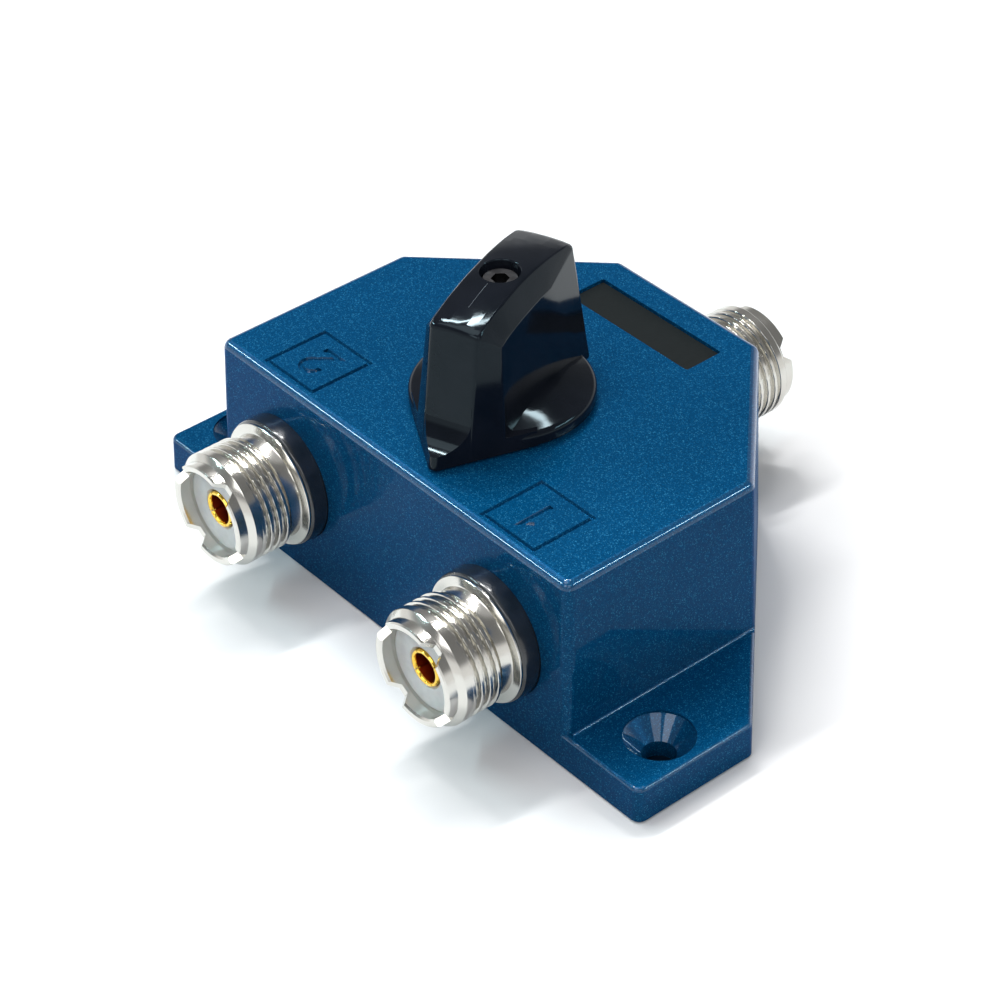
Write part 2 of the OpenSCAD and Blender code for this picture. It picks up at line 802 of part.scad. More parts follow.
// Flanged bush, pushed up through the plate and the top wall
module shaft_bush() {
    color([0.75, 0.6, 0.28])
    translate([0, axis_y, 0])
        difference() {
            union() {
                translate([0, 0, bush_low_z + seat_gap])
                    cylinder(r = bush_r + 1.0, h = bush_flange_t - 2 * seat_gap);
                translate([0, 0, bush_low_z + seat_gap])
                    cylinder(r = bush_r, h = body_h + bush_stand - bush_low_z - seat_gap);
            }
            cylinder(r = shaft_r + run_gap, h = body_h + crown_h);
        }
}

// Open clip in the shaft's groove
module shaft_clip() {
    color([0.3, 0.3, 0.32])
    on_axis()
        translate([0, 0, clip_z + seat_gap / 2])
            difference() {
                cylinder(r = shaft_r + 1.5, h = clip_t);
                translate([0, 0, -cut])
                    cylinder(r = groove_r + seat_gap, h = clip_t + 2 * cut);
                translate([-shaft_r * 2, -groove_r * 0.8, -cut])
                    cube([shaft_r * 2, groove_r * 1.6, clip_t + 2 * cut]);
            }
}

// Fixed plate under the ceiling, with a hole for each ball in each knob position
ball_turns = [60, 240];
hole_in_plate_r = ball_r * 0.8;
plate_r = disc_r + 1.0;
module detent_plate() {
    color([0.66, 0.67, 0.68])
    translate([0, axis_y, plate_z - seat_gap])
        difference() {
            cylinder(r = plate_r, h = plate_t);
            translate([0, 0, -cut])
                cylinder(r = bush_r + seat_gap, h = plate_t + 2 * cut);
            for (throw = [-throw_angle, throw_angle])
                for (turn = ball_turns)
                    rotate([0, 0, throw - 90 + turn])
                        translate([ball_track_r, 0, -cut])
                            cylinder(r = hole_in_plate_r, h = plate_t + 2 * cut);
            rotate([0, 0, stop_turn])
                translate([stop_track_r, 0, -cut])
                    cylinder(r = stop_r + seat_gap, h = plate_t + 2 * cut);
        }
}

// Pin that ends the knob's turn at both ends of a curved slot in the disc
stop_track_r = 8.0;
stop_turn = 90;
stop_bite = 1.8;
stop_low_z = disc_low_z + 0.6;
module stop_pin_at(r, low_z, high_z) {
    translate([0, axis_y, low_z])
        rotate([0, 0, stop_turn])
            translate([stop_track_r, 0, 0])
                cylinder(r = r, h = high_z - low_z);
}
module stop_pin_seat() {
    stop_pin_at(stop_r + seat_gap, ceiling_z - cut, ceiling_z + stop_bite + seat_gap);
}
module stop_pin() {
    color([0.7, 0.7, 0.7])
    stop_pin_at(stop_r, stop_low_z, ceiling_z + stop_bite);
}

// Disc on the shaft that carries the balls and their springs
module detent_disc() {
    color([0.68, 0.56, 0.3])
    on_axis()
        difference() {
            translate([0, 0, disc_low_z])
                cylinder(r = disc_r, h = disc_t);
            translate([0, 0, disc_low_z - cut])
                cylinder(r = shaft_r + seat_gap, h = disc_t + 2 * cut);
            translate([0, 0, collar_top_z - collar_t - seat_gap])
                cylinder(r = bush_r + 1.4, h = disc_t);
            for (turn = ball_turns)
                rotate([0, 0, turn])
                    translate([ball_track_r, 0, disc_low_z + 0.5])
                        cylinder(r = ball_r + run_gap, h = disc_t);
            rotate([0, 0, stop_turn + 90])
                curved_slot(stop_track_r, stop_r + run_gap, -throw_angle, throw_angle);
        }
}

// Slot through the disc along a circle of radius r, between two angles
module curved_slot(r, half_width, a0, a1) {
    translate([0, 0, disc_low_z - cut]) {
        for (a = [a0, a1])
            rotate([0, 0, a])
                translate([r, 0, 0])
                    cylinder(r = half_width, h = disc_t + 2 * cut);
        rotate([0, 0, a0])
            rotate_extrude(angle = a1 - a0)
                translate([r - half_width, 0])
                    square([2 * half_width, disc_t + 2 * cut]);
    }
}

// Each ball is drawn at its lowest, just under the plate, as it is between two positions
ball_z = plate_z - seat_gap - run_gap - ball_r;
module detent_balls() {
    color([0.8, 0.8, 0.8])
    on_axis()
        for (turn = ball_turns)
            rotate([0, 0, turn])
                translate([ball_track_r, 0, ball_z])
                    sphere(r = ball_r);
}

// Pressed coil spring under each ball, one closed ring for each turn
spring_turns = 2;
spring_low_z = disc_low_z + 0.5;
spring_h = ball_z - ball_r - spring_low_z - seat_gap;
module detent_springs() {
    color([0.6, 0.6, 0.6])
    on_axis()
        for (turn = ball_turns)
            rotate([0, 0, turn])
                translate([ball_track_r, 0, spring_low_z])
                    difference() {
                        cylinder(r = ball_r - run_gap, h = spring_h);
                        translate([0, 0, -cut])
                            cylinder(r = ball_r * 0.6, h = spring_h + 2 * cut);
                    }
}

// Insulating hub that holds the blade clear of the shaft
module rotor_hub() {
    color([0.9, 0.9, 0.88])
    on_axis()
        difference() {
            union() {
                translate([0, 0, port_h + blade_t / 2])
                    cylinder(r = hub_r, h = disc_low_z - seat_gap - port_h - blade_t / 2);
                translate([0, 0, hub_low_z])
                    cylinder(r = neck_hub_r, h = port_h - hub_low_z + blade_t);
            }
            cylinder(r = shaft_r + seat_gap, h = body_h);
        }
}

// Blade that swings between the two spring jaws
module contact_blade() {
    color([0.8, 0.6, 0.25])
    on_axis()
        translate([0, 0, blade_low_z])
            difference() {
                union() {
                    cylinder(r = common_ring_r, h = blade_t - seat_gap);
                    translate([0, -blade_w / 2, 0])
                        cube([blade_reach - blade_w / 2, blade_w, blade_t - seat_gap]);
                    translate([blade_reach - blade_w / 2, 0, 0])
                        cylinder(r = blade_w / 2, h = blade_t - seat_gap);
                }
                translate([0, 0, -cut])
                    cylinder(r = neck_hub_r + seat_gap, h = blade_t + 2 * cut);
            }
}

// Thin wiper between the blade's ring and the common contact's ring
module wiper_washer() {
    color([0.75, 0.6, 0.3])
    translate([0, axis_y, common_top_z + run_gap])
        difference() {
            cylinder(r = common_ring_r - 0.3, h = wiper_t);
            translate([0, 0, -cut])
                cylinder(r = neck_hub_r + seat_gap, h = wiper_t + 2 * cut);
        }
}

// Screw and broad head that hold the hub on the shaft
rotor_screw_r = 1.25;
rotor_screw_l = 6.0;
rotor_head_h = 1.4;
module rotor_screw() {
    color([0.72, 0.72, 0.72])
    on_axis()
        difference() {
            union() {
                translate([0, 0, hub_low_z - seat_gap - rotor_head_h])
                    cylinder(r = neck_hub_r + 0.6, h = rotor_head_h);
                translate([0, 0, hub_low_z - seat_gap - rotor_head_h / 2])
                    cylinder(r = rotor_screw_r, h = rotor_screw_l);
            }
            translate([-neck_hub_r * 2, -0.4, hub_low_z - seat_gap - rotor_head_h - cut])
                cube([neck_hub_r * 4, 0.8, cut + rotor_head_h / 2]);
        }
}

housing();
base_cover();
cover_screws();
label_plate();
knob();
knob_screw();
shaft();
shaft_bush();
shaft_clip();
detent_plate();
stop_pin();
detent_disc();
detent_balls();
detent_springs();
rotor_hub();
contact_blade();
wiper_washer();
rotor_screw();
common_strip();
port_strip();  // port_1_strip
mirror([1, 0, 0]) port_strip();  // port_2_strip
at_port(0) port_shell();  // port_1_shell
at_port(0) port_insulator();  // port_1_insulator
at_port(0) port_contact();  // port_1_contact
at_port(0) port_ring();  // port_1_ring
at_port(0) port_washer();  // port_1_washer
at_port(0) port_nut();  // port_1_nut
at_port(1) port_shell();  // port_2_shell
at_port(1) port_insulator();  // port_2_insulator
at_port(1) port_contact();  // port_2_contact
at_port(1) port_ring();  // port_2_ring
at_port(1) port_washer();  // port_2_washer
at_port(1) port_nut();  // port_2_nut
at_port(2) port_shell();  // common_shell
at_port(2) port_insulator();  // common_insulator
at_port(2) port_contact();  // common_contact
at_port(2) port_ring();  // common_ring
at_port(2) port_washer();  // common_washer
at_port(2) port_nut();  // common_nut
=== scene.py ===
import json
import math
import bmesh
import bpy
from mathutils import Matrix, Vector

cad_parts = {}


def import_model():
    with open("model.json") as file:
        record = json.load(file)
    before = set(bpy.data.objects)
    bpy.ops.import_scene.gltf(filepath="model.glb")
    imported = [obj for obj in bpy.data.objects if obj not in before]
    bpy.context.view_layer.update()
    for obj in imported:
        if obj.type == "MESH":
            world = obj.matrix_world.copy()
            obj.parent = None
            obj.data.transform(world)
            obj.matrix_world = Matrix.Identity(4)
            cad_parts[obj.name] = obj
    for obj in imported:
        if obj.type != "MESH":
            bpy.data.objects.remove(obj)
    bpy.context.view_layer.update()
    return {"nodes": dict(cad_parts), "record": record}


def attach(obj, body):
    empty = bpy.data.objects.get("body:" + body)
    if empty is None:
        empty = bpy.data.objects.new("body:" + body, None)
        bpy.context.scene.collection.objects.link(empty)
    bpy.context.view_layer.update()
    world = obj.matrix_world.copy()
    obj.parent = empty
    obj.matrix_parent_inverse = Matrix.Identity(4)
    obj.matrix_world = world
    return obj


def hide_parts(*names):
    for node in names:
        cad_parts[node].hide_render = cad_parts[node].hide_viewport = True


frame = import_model()
MM = 0.001
TAU = 2 * math.pi

# Sizes are in mm in the part's frame: x to the right, the front wall at -y, z up from the base.
# The box's main sizes are those of the part's source.

# ---- Sizes of the box ----

# Half width at the front, depth of a side, half width of the back wall, height
HALF_W, SIDE_D, HALF_BACK, BODY_H = 35.3, 31.8, 13.7, 28.3
BODY_D = SIDE_D + HALF_W - HALF_BACK
FRONT, BACK = -BODY_D / 2, BODY_D / 2
SIDE_Y = FRONT + SIDE_D
# How far the walls lean in towards the top, and the radii of upright, top and bottom edges
DRAFT, EDGE_R, TOP_EDGE_R, LOW_EDGE_R = 0.8, 1.4, 1.25, 0.25
LEAN = DRAFT / (BODY_H - EDGE_R)
# Wall, underside of the top, top of the cover in its seat, and the wall beside the cover
WALL, CEILING, FLOOR_Z, RIM = 3.6, 24.7, 1.8, 2.0
# The knob's axis, the connectors' height and distance from the middle, and the knob's turn to each side
AXIS_Y, PORT_H, PORT_X = FRONT + 20.2, 13.6, 21.0
THROW = math.radians(21)

# Bosses for the cover's screws, with the places of the two on the right
BOSS_R, BOSS_HOLE_R, BOSS_HOLE_TOP = 3.2, 1.55, 9.2
BOSSES = [(29.3, -15.0), (20.75, 11.1652)]

SHANK_HOLE_R, RING_POCKET_R, RING_SEAT = 6.95, 9.05, DRAFT * (PORT_H + 8.9) / BODY_H
BUSH_HOLE_R = 4.85
PIN_HOLE_R, PIN_HOLE_DEPTH, PIN_HOLE_Y = 1.05, 1.85, AXIS_Y + 8
LABEL_HALF_W, LABEL_HALF_D, LABEL_R, LABEL_DEPTH, LABEL_Y = 11.45, 3.05, 0.35, 0.8, BACK - 8.8
MARK_X, MARK_Y, MARK_HALF, MARK_DEPTH = 21.7, FRONT + 7.3, 4.75, 0.38

# Ears: they reach into the side wall, up to EAR_INNER_X
HALF_SPAN, EAR_T, EAR_R, EAR_TOP_R, EAR_FILLET_R = 48.2, 5.3, 1.3, 0.5, 0.35
EAR_SIDE_Y = SIDE_Y - (HALF_SPAN - HALF_W)
EAR_INNER_X, EAR_BACK_X = 33.9, 34.89
EAR_HOLE_X, EAR_HOLE_Y, EAR_HOLE_R, EAR_SINK_R = 42.1, FRONT + 9.0, 2.2, 4.6

OVER = 1            # how far a cutter reaches past what it cuts
ARC_STEPS = 8       # segments of each rounded edge and corner of a casting


# ---- Mesh helpers ----

def new_object(name, bm):
    """Makes an object of bm, which is used up."""
    me = bpy.data.meshes.new(name)
    bm.to_mesh(me)
    bm.free()
    ob = bpy.data.objects.new(name, me)
    bpy.context.scene.collection.objects.link(ob)
    return ob


def to_metres(bm):
    bmesh.ops.scale(bm, vec=(MM, MM, MM), verts=bm.verts)
    return bm


def shade(ob, angle):
    """Smooth shading, with edges sharper than the angle left sharp."""
    ob.data.polygons.foreach_set("use_smooth", [True] * len(ob.data.polygons))
    ob.data.set_sharp_from_angle(angle=math.radians(angle))


def to_piece(name, bm, angle, body="box"):
    """Makes a shaded object of bm, which is in mm, and puts it on its body."""
    bmesh.ops.recalc_face_normals(bm, faces=bm.faces)
    ob = new_object(name, to_metres(bm))
    shade(ob, angle)
    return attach(ob, body)


def weight_normals(ob):
    """Lets the large faces rule the shading, so that flat walls stay flat next to round edges."""
    mod = ob.modifiers.new("weighted", "WEIGHTED_NORMAL")
    mod.keep_sharp = True
    mod.weight = 80


def clean(bm, dist=1e-4):
    bmesh.ops.remove_doubles(bm, verts=bm.verts, dist=dist)
    bmesh.ops.dissolve_degenerate(bm, dist=dist, edges=bm.edges)
    bmesh.ops.recalc_face_normals(bm, faces=bm.faces)


def skinned(rings, looped=False, dist=1e-4):
    """Skins a list of closed point rings of one length. It caps the ends, or joins the last to the first."""
    bm = bmesh.new()
    vs = [[bm.verts.new(p) for p in ring] for ring in rings]
    n = len(rings[0])
    for a, b in zip(vs, vs[1:] + vs[:1] if looped else vs[1:]):
        for i in range(n):
            j = (i + 1) % n
            bm.faces.new((a[i], a[j], b[j], b[i]))
    if not looped:
        bm.faces.new(list(reversed(vs[0])))
        bm.faces.new(vs[-1])
    clean(bm, dist)
    return bm


def lathe(profile, steps=96, looped=False, radius=lambda r, z, a: r):
    """Turns (r, z) points about Z. radius(r, z, angle) may change a point's distance from the axis."""
    rings = []
    for r, z in profile:
        ring = []
        for k in range(steps):
            a = TAU * k / steps
            q = radius(r, z, a)
            ring.append((q * math.cos(a), q * math.sin(a), z))
        rings.append(ring)
    return skinned(rings, looped)


def prism(points, low, high):
    return skinned([[(x, y, z) for x, y in points] for z in (low, high)])


def post(r, low, high, x, y, steps):
    """Plain upright cylinder with its axis at x, y."""
    return moved(lathe([(r, low), (r, high)], steps), Matrix.Translation((x, y, 0)))


def moved(bm, matrix):
    bmesh.ops.transform(bm, matrix=matrix, verts=bm.verts)
    return bm


def arc(cx, cy, r, a0, a1, n):
    """n + 1 points from angle a0 to a1, in degrees."""
    return [(cx + r * math.cos(math.radians(a0 + (a1 - a0) * i / n)),
             cy + r * math.sin(math.radians(a0 + (a1 - a0) * i / n))) for i in range(n + 1)]


def meet(a, b):
    """Where two lines, each (nx, ny, c) with nx*x + ny*y = c, meet."""
    det = a[0] * b[1] - a[1] * b[0]
    return ((a[2] * b[1] - a[1] * b[2]) / det, (a[0] * b[2] - a[2] * b[0]) / det)


def outline_ring(corners, outer, radii, lean, shrink, z):
    """One level of a drafted block: its leaning edges move in by lean and shrink, its corners are round."""
    n = len(corners)
    lines = []
    for i in range(n):
        (x0, y0), (x1, y1) = corners[i], corners[(i + 1) % n]
        length = math.hypot(x1 - x0, y1 - y0)
        nx, ny = (y1 - y0) / length, (x0 - x1) / length
        lines.append((nx, ny, nx * x0 + ny * y0, outer[i]))
    pts = []
    for i in range(n):
        before, after = lines[i - 1], lines[i]
        inset = lean + (radii[i] if radii[i] > 0 else shrink)
        cx, cy = meet(*[(nx, ny, c - inset * moves) for nx, ny, c, moves in (before, after)])
        if radii[i] <= 0:
            pts += [(cx, cy, z)] * (ARC_STEPS + 1)
            continue
        a0 = math.degrees(math.atan2(before[1], before[0]))
        a1 = math.degrees(math.atan2(after[1], after[0]))
        while a1 < a0:
            a1 += 360
        pts += [(x, y, z) for x, y in arc(cx, cy, radii[i] - shrink, a0, a1, ARC_STEPS)]
    return pts


def cast_block(corners, outer, radii, height, top_r):
    """Drafted block with round upright corners and a rounded top edge. outer is 1 where an edge leans in."""
    flat = height - top_r
    rings = [outline_ring(corners, outer, radii, 0, LOW_EDGE_R, 0),
             outline_ring(corners, outer, radii, LEAN * LOW_EDGE_R, 0, LOW_EDGE_R)]
    for k in range(ARC_STEPS + 1):
        a = math.radians(90 * k / ARC_STEPS)
        rings.append(outline_ring(corners, outer, radii, LEAN * flat, top_r * (1 - math.cos(a)),
                                  flat + top_r * math.sin(a)))
    return skinned(rings, dist=2e-3)


def outline(inset):
    """The box's plan, moved in by inset: a rectangle with its two rear corners cut at 45 degrees."""
    shift = inset * math.tan(math.radians(22.5))
    side_x = HALF_W - inset
    half = [(side_x, FRONT + inset), (side_x, SIDE_Y - shift), (HALF_BACK - shift, BACK - inset)]
    return half + [(-x, y) for x, y in reversed(half)]


def boolean(target, cutter, operation="DIFFERENCE"):
    """target and cutter are bmeshes; both are used up. Returns a new bmesh."""
    obs = [new_object("work", bm) for bm in (target, cutter)]
    mod = obs[0].modifiers.new("cut", "BOOLEAN")
    mod.operation = operation
    mod.solver = "EXACT"
    mod.object = obs[1]
    graph = bpy.context.evaluated_depsgraph_get()
    result = bmesh.new()
    result.from_mesh(obs[0].evaluated_get(graph).to_mesh())
    for ob in obs:
        me = ob.data
        bpy.data.objects.remove(ob)
        bpy.data.meshes.remove(me)
    bmesh.ops.remove_doubles(result, verts=result.verts, dist=1e-4)
    return result


def join(*bms):
    """One bmesh of several, which are used up."""
    out = bmesh.new()
    for bm in bms:
        me = bpy.data.meshes.new("work")
        bm.to_mesh(me)
        bm.free()
        out.from_mesh(me)
        bpy.data.meshes.remove(me)
    return out


def groove(points, half_top, half_low, closed=False):
    """Cutter for a V-sided groove in the box's top. It follows (x, y) points with mitred corners."""
    above, least = 0.2, 0.3
    top, low = BODY_H + above, BODY_H - MARK_DEPTH
    half_above = half_top + (half_top - half_low) * above / MARK_DEPTH
    points = [Vector(p) for p in points]
    n = len(points)
    ways = [(points[(i + 1) % n] - points[i]).normalized() for i in range(n)]
    rings = []
    for i, p in enumerate(points):
        into = ways[i - 1] if closed or i > 0 else ways[i]
        out = ways[i] if closed or i < n - 1 else into
        across = Vector((-into.y, into.x))
        mitre = (across + Vector((-out.y, out.x))).normalized()
        mitre = mitre / max(mitre.dot(across), least)
        a, b = p + mitre * half_above, p - mitre * half_above
        c, d = p - mitre * half_low, p + mitre * half_low
        rings.append([(a.x, a.y, top), (b.x, b.y, top), (c.x, c.y, low), (d.x, d.y, low)])
    return skinned(rings, closed)


# ---- Material helpers ----

def principled(mat):
    return mat.node_tree.nodes["Principled BSDF"]


def new_material(name, color, rough, metal=0.0, coat=0.0, coat_rough=0.05, spec=0.5):
    mat = bpy.data.materials.new(name)
    mat.use_nodes = True
    mat.diffuse_color = (*color, 1)
    values = {"Base Color": (*color, 1), "Roughness": rough, "Metallic": metal, "Coat Weight": coat,
              "Coat Roughness": coat_rough, "Specular IOR Level": spec}
    for key, value in values.items():
        principled(mat).inputs[key].default_value = value
    return mat


def add(owner, kind, **values):
    """Adds a node to a material or world, and sets its inputs or properties of those names."""
    node = owner.node_tree.nodes.new(kind)
    for key, value in values.items():
        socket = key.replace("_", " ")
        if socket in node.inputs:
            node.inputs[socket].default_value = value
        else:
            setattr(node, key, value)
    return node


def link(owner, a, out, b, into):
    owner.node_tree.links.new(a.outputs[out], b.inputs[into])


def coords(mat, scale=(1, 1, 1)):
    """Object coordinates, scaled per axis."""
    tc = add(mat, "ShaderNodeTexCoord")
    mapping = add(mat, "ShaderNodeMapping", Scale=scale)
    link(mat, tc, "Object", mapping, "Vector")
    return mapping


def noise(mat, where, scale, detail, rough=0.5):
    node = add(mat, "ShaderNodeTexNoise", Scale=scale, Detail=detail, Roughness=rough)
    link(mat, where, "Vector", node, "Vector")
    return node


def ramp(owner, source, out, stops):
    node = add(owner, "ShaderNodeValToRGB")
    els = node.color_ramp.elements
    while len(els) < len(stops):
        els.new(0.5)
    for e, (pos, c) in zip(els, stops):
        e.position = pos
        e.color = (*c, 1)
    link(owner, source, out, node, "Fac")
    return node


def bump(mat, source, out, strength, distance, to="Normal"):
    node = add(mat, "ShaderNodeBump", Strength=strength, Distance=distance)
    link(mat, source, out, node, "Height")
    link(mat, node, "Normal", principled(mat), to)


def tint(mat, source, low, high, lo=0.3, hi=0.7):
    """Colour between low and high, as the noise goes from lo to hi."""
    link(mat, ramp(mat, source, "Fac", [(lo, low), (hi, high)]), "Color", principled(mat), "Base Color")


def rough_range(mat, source, low, high):
    node = add(mat, "ShaderNodeMapRange", To_Min=low, To_Max=high)
    link(mat, source, "Fac", node, "Value")
    link(mat, node, "Result", principled(mat), "Roughness")


def mix_shader(owner, factor, factor_out, low, high):
    """Mixes two shaders by another node's output."""
    node = add(owner, "ShaderNodeMixShader")
    link(owner, factor, factor_out, node, 0)
    link(owner, low, 0, node, 1)
    link(owner, high, 0, node, 2)
    return node


# ---- Materials ----

def paint(name, coat, spec):
    """Metallic blue paint: very fine flakes under a thin clear coat with a slight orange peel."""
    mat = new_material(name, (0.002, 0.075, 0.19), 0.40, metal=0.35, coat=coat, coat_rough=0.04, spec=spec)
    principled(mat).inputs["Specular Tint"].default_value = (0.05, 0.45, 1.0, 1)
    c = coords(mat)
    flakes = add(mat, "ShaderNodeTexVoronoi", Scale=8500.0)
    link(mat, c, "Vector", flakes, "Vector")
    sep = add(mat, "ShaderNodeSeparateColor")
    link(mat, flakes, "Color", sep, "Color")
    last, out = ramp(mat, sep, "Red", [(0.0, (0.0006, 0.040, 0.106)), (0.65, (0.0010, 0.050, 0.131)),
                                       (0.88, (0.002, 0.067, 0.172)), (1.0, (0.022, 0.160, 0.30))]), "Color"
    for grain, swing in ((noise(mat, c, 3600.0, 3.0, 0.7), 0.12), (noise(mat, c, 60.0, 2.0), 0.05)):
        tone = ramp(mat, grain, "Fac", [(0.3, (1 - swing,) * 3), (0.7, (1 + swing,) * 3)])
        mix = add(mat, "ShaderNodeMix", data_type="RGBA", blend_type="MULTIPLY", Factor=1.0)
        link(mat, last, out, mix, "A")
        link(mat, tone, "Color", mix, "B")
        last, out = mix, "Result"
    link(mat, last, out, principled(mat), "Base Color")
    bump(mat, sep, "Green", 0.2, 0.00001)
    bump(mat, noise(mat, c, 900.0, 1.0), "Fac", 0.10, 0.00003, to="Coat Normal")
    return mat


def black_gloss():
    """Glossy black moulding with soft waves and faint rubbed patches."""
    mat = new_material("black_moulding", (0.005, 0.007, 0.011), 0.12, spec=0.21)
    principled(mat).inputs["Specular Tint"].default_value = (0.66, 0.90, 1.0, 1)
    c = coords(mat)
    soft = noise(mat, c, 220.0, 2.0)
    tint(mat, soft, (0.004, 0.005, 0.008), (0.007, 0.008, 0.012))
    rough_range(mat, noise(mat, c, 700.0, 5.0, 0.65), 0.05, 0.13)
    bump(mat, soft, "Fac", 0.10, 0.0001)
    return mat


def ring_black():
    """Black of the rings at the wall, with a thin gloss coat."""
    mat = new_material("ring_gloss_black", (0.012, 0.016, 0.020), 0.2, coat=0.6, coat_rough=0.08)
    grain = noise(mat, coords(mat), 500.0, 3.0)
    tint(mat, grain, (0.009, 0.012, 0.016), (0.017, 0.022, 0.028))
    rough_range(mat, grain, 0.14, 0.3)
    bump(mat, grain, "Fac", 0.08, 0.0001)
    return mat


def turned(name, color, dark, rough_lo, rough_hi, strength=0.05):
    """Turned and plated metal with fine tool marks in rings about Y, the connectors' axis."""
    mat = new_material(name, color, (rough_lo + rough_hi) / 2, metal=1.0)
    lines = noise(mat, coords(mat, (0, 1, 0)), 5200.0, 3.0, 0.6)
    tint(mat, noise(mat, coords(mat), 140.0, 1.0), dark, color, 0.25, 0.75)
    rough_range(mat, lines, rough_lo, rough_hi)
    bump(mat, lines, "Fac", strength, 0.00002)
    return mat


def plain_metal(name, color, dark, rough_lo, rough_hi, scale=900.0):
    mat = new_material(name, color, (rough_lo + rough_hi) / 2, metal=1.0)
    grain = noise(mat, coords(mat), scale, 5.0, 0.6)
    tint(mat, grain, dark, color, 0.25, 0.7)
    rough_range(mat, grain, rough_lo, rough_hi)
    bump(mat, grain, "Fac", 0.08, 0.00005)
    return mat


def plastic(name, color, dark, rough_lo, rough_hi, scale=1200.0, strength=0.1, spec=0.5, inner_light=0.0):
    """Moulded or turned plastic. inner_light is the share of light that goes in and comes out again."""
    mat = new_material(name, color, (rough_lo + rough_hi) / 2, spec=spec)
    grain = noise(mat, coords(mat), scale, 4.0)
    tint(mat, grain, dark, color)
    rough_range(mat, grain, rough_lo, rough_hi)
    bump(mat, grain, "Fac", strength, 0.00004)
    if inner_light:
        principled(mat).inputs["Subsurface Weight"].default_value = inner_light
        principled(mat).inputs["Subsurface Scale"].default_value = 0.001
    return mat


M = {
    "blue_paint": paint("blue_flake_paint", coat=0.13, spec=0.01),
    "blue_edge": paint("blue_paint_on_edges", coat=1.0, spec=0.3),
    "black_plastic": black_gloss(),
    # The mould line's own plastic is black; its lighter grey is painted highlight on the raised, rougher
    # line.
    "mould_line": plastic("moulding_line_painted_highlight", (0.20, 0.22, 0.25), (0.08, 0.09, 0.10), 0.3, 0.5, 1500.0),
    "ring_black": ring_black(),
    "nickel_plate": turned("nickel_turned", (0.70, 0.685, 0.64), (0.64, 0.625, 0.58), 0.15, 0.22),
    # Darker gold for the contact's bore: painted shade, not the plating's own colour.
    "gold_painted_shade": turned("gold_in_shade", (0.24, 0.028, 0.005), (0.13, 0.014, 0.003), 0.3, 0.45),
    "gold_plate": turned("gold_turned", (0.93, 0.62, 0.10), (0.84, 0.53, 0.07), 0.12, 0.18, 0.02),
    "brass": plain_metal("brass_plain", (0.78, 0.58, 0.26), (0.62, 0.44, 0.18), 0.22, 0.4),
    "steel": plain_metal("steel_plated", (0.66, 0.67, 0.68), (0.54, 0.55, 0.56), 0.22, 0.38),
    "dark_steel": plain_metal("steel_blackened", (0.085, 0.085, 0.088), (0.045, 0.045, 0.05), 0.28, 0.45),
    "cover_sheet": plain_metal("sheet_rolled", (0.66, 0.67, 0.68), (0.56, 0.57, 0.58), 0.3, 0.48, 500.0),
    "label_black": plastic("label_bare", (0.0055, 0.0090, 0.0098), (0.0045, 0.0072, 0.008), 0.34, 0.5,
                           2600.0, 0.15, spec=0.12),
    "grey_plastic": plastic("insulator_pale", (0.68, 0.70, 0.70), (0.60, 0.62, 0.62), 0.3, 0.45,
                            900.0, 0.06, inner_light=0.15),
    "white_plastic": plastic("white_turned", (0.80, 0.80, 0.77), (0.72, 0.72, 0.69), 0.35, 0.5),
}
SLOT_OF = {s["node"]: s["material_slot"] for s in frame["record"]["subparts"]}
for node, ob in frame["nodes"].items():
    ob.data.materials.clear()
    ob.data.materials.append(M[SLOT_OF[node]])
    shade(ob, 30)


def dress(ob, slot, node):
    """Gives a piece its material and lets it stand for its node."""
    ob.data.materials.clear()
    ob.data.materials.append(M[slot])
    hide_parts(node)


# ---- Box ----

def port_matrix(i):
    """Places connector i: its local +Z points out of the box along the connector's axis."""
    x, turn = [(PORT_X, 0), (-PORT_X, 0), (0, math.pi)][i]
    return (Matrix.Rotation(turn, 4, "Z") @ Matrix.Translation((x, FRONT, PORT_H))
            @ Matrix.Rotation(math.pi / 2, 4, "X"))


def casting_bm():
    """The box without its ears: a drafted block, its hollow with four bosses, and all its bores and cuts."""
    bosses = BOSSES + [(-x, y) for x, y in BOSSES]
    hollow = prism(outline(WALL), -OVER, CEILING)
    for x, y in bosses:
        hollow = boolean(hollow, post(BOSS_R, FLOOR_Z, CEILING + OVER, x, y, 32))
    bm = cast_block(outline(0), [1] * 6, [EDGE_R] * 6, BODY_H, TOP_EDGE_R)
    bm = boolean(bm, hollow)
    bm = boolean(bm, prism(outline(RIM), -OVER, FLOOR_Z))
    for x, y in bosses:
        bm = boolean(bm, post(BOSS_HOLE_R, 0, BOSS_HOLE_TOP, x, y, 24))
    bore = [(SHANK_HOLE_R, -WALL - OVER), (SHANK_HOLE_R, -RING_SEAT),
            (RING_POCKET_R, -RING_SEAT), (RING_POCKET_R, OVER)]
    for i in range(3):
        bm = boolean(bm, moved(lathe(bore), port_matrix(i)))
    bm = boolean(bm, post(BUSH_HOLE_R, CEILING - OVER, BODY_H + OVER, 0, AXIS_Y, 48))
    bm = boolean(bm, post(PIN_HOLE_R, CEILING - OVER, CEILING + PIN_HOLE_DEPTH, 0, PIN_HOLE_Y, 24))
    for cutter in (label_cut(), *marks()):
        bm = boolean(bm, cutter)
    clean(bm)
    return bm


def label_cut():
    """Recess with slightly rounded corners for the bare label plate."""
    hw, hd, r = LABEL_HALF_W, LABEL_HALF_D, LABEL_R
    pts = []
    for sx, sy, start in ((1, -1, -90), (1, 1, 0), (-1, 1, 90), (-1, -1, 180)):
        pts += arc(sx * (hw - r), sy * (hd - r) + LABEL_Y, r, start, start + 90, 5)
    return prism(pts, BODY_H - LABEL_DEPTH, BODY_H + OVER)


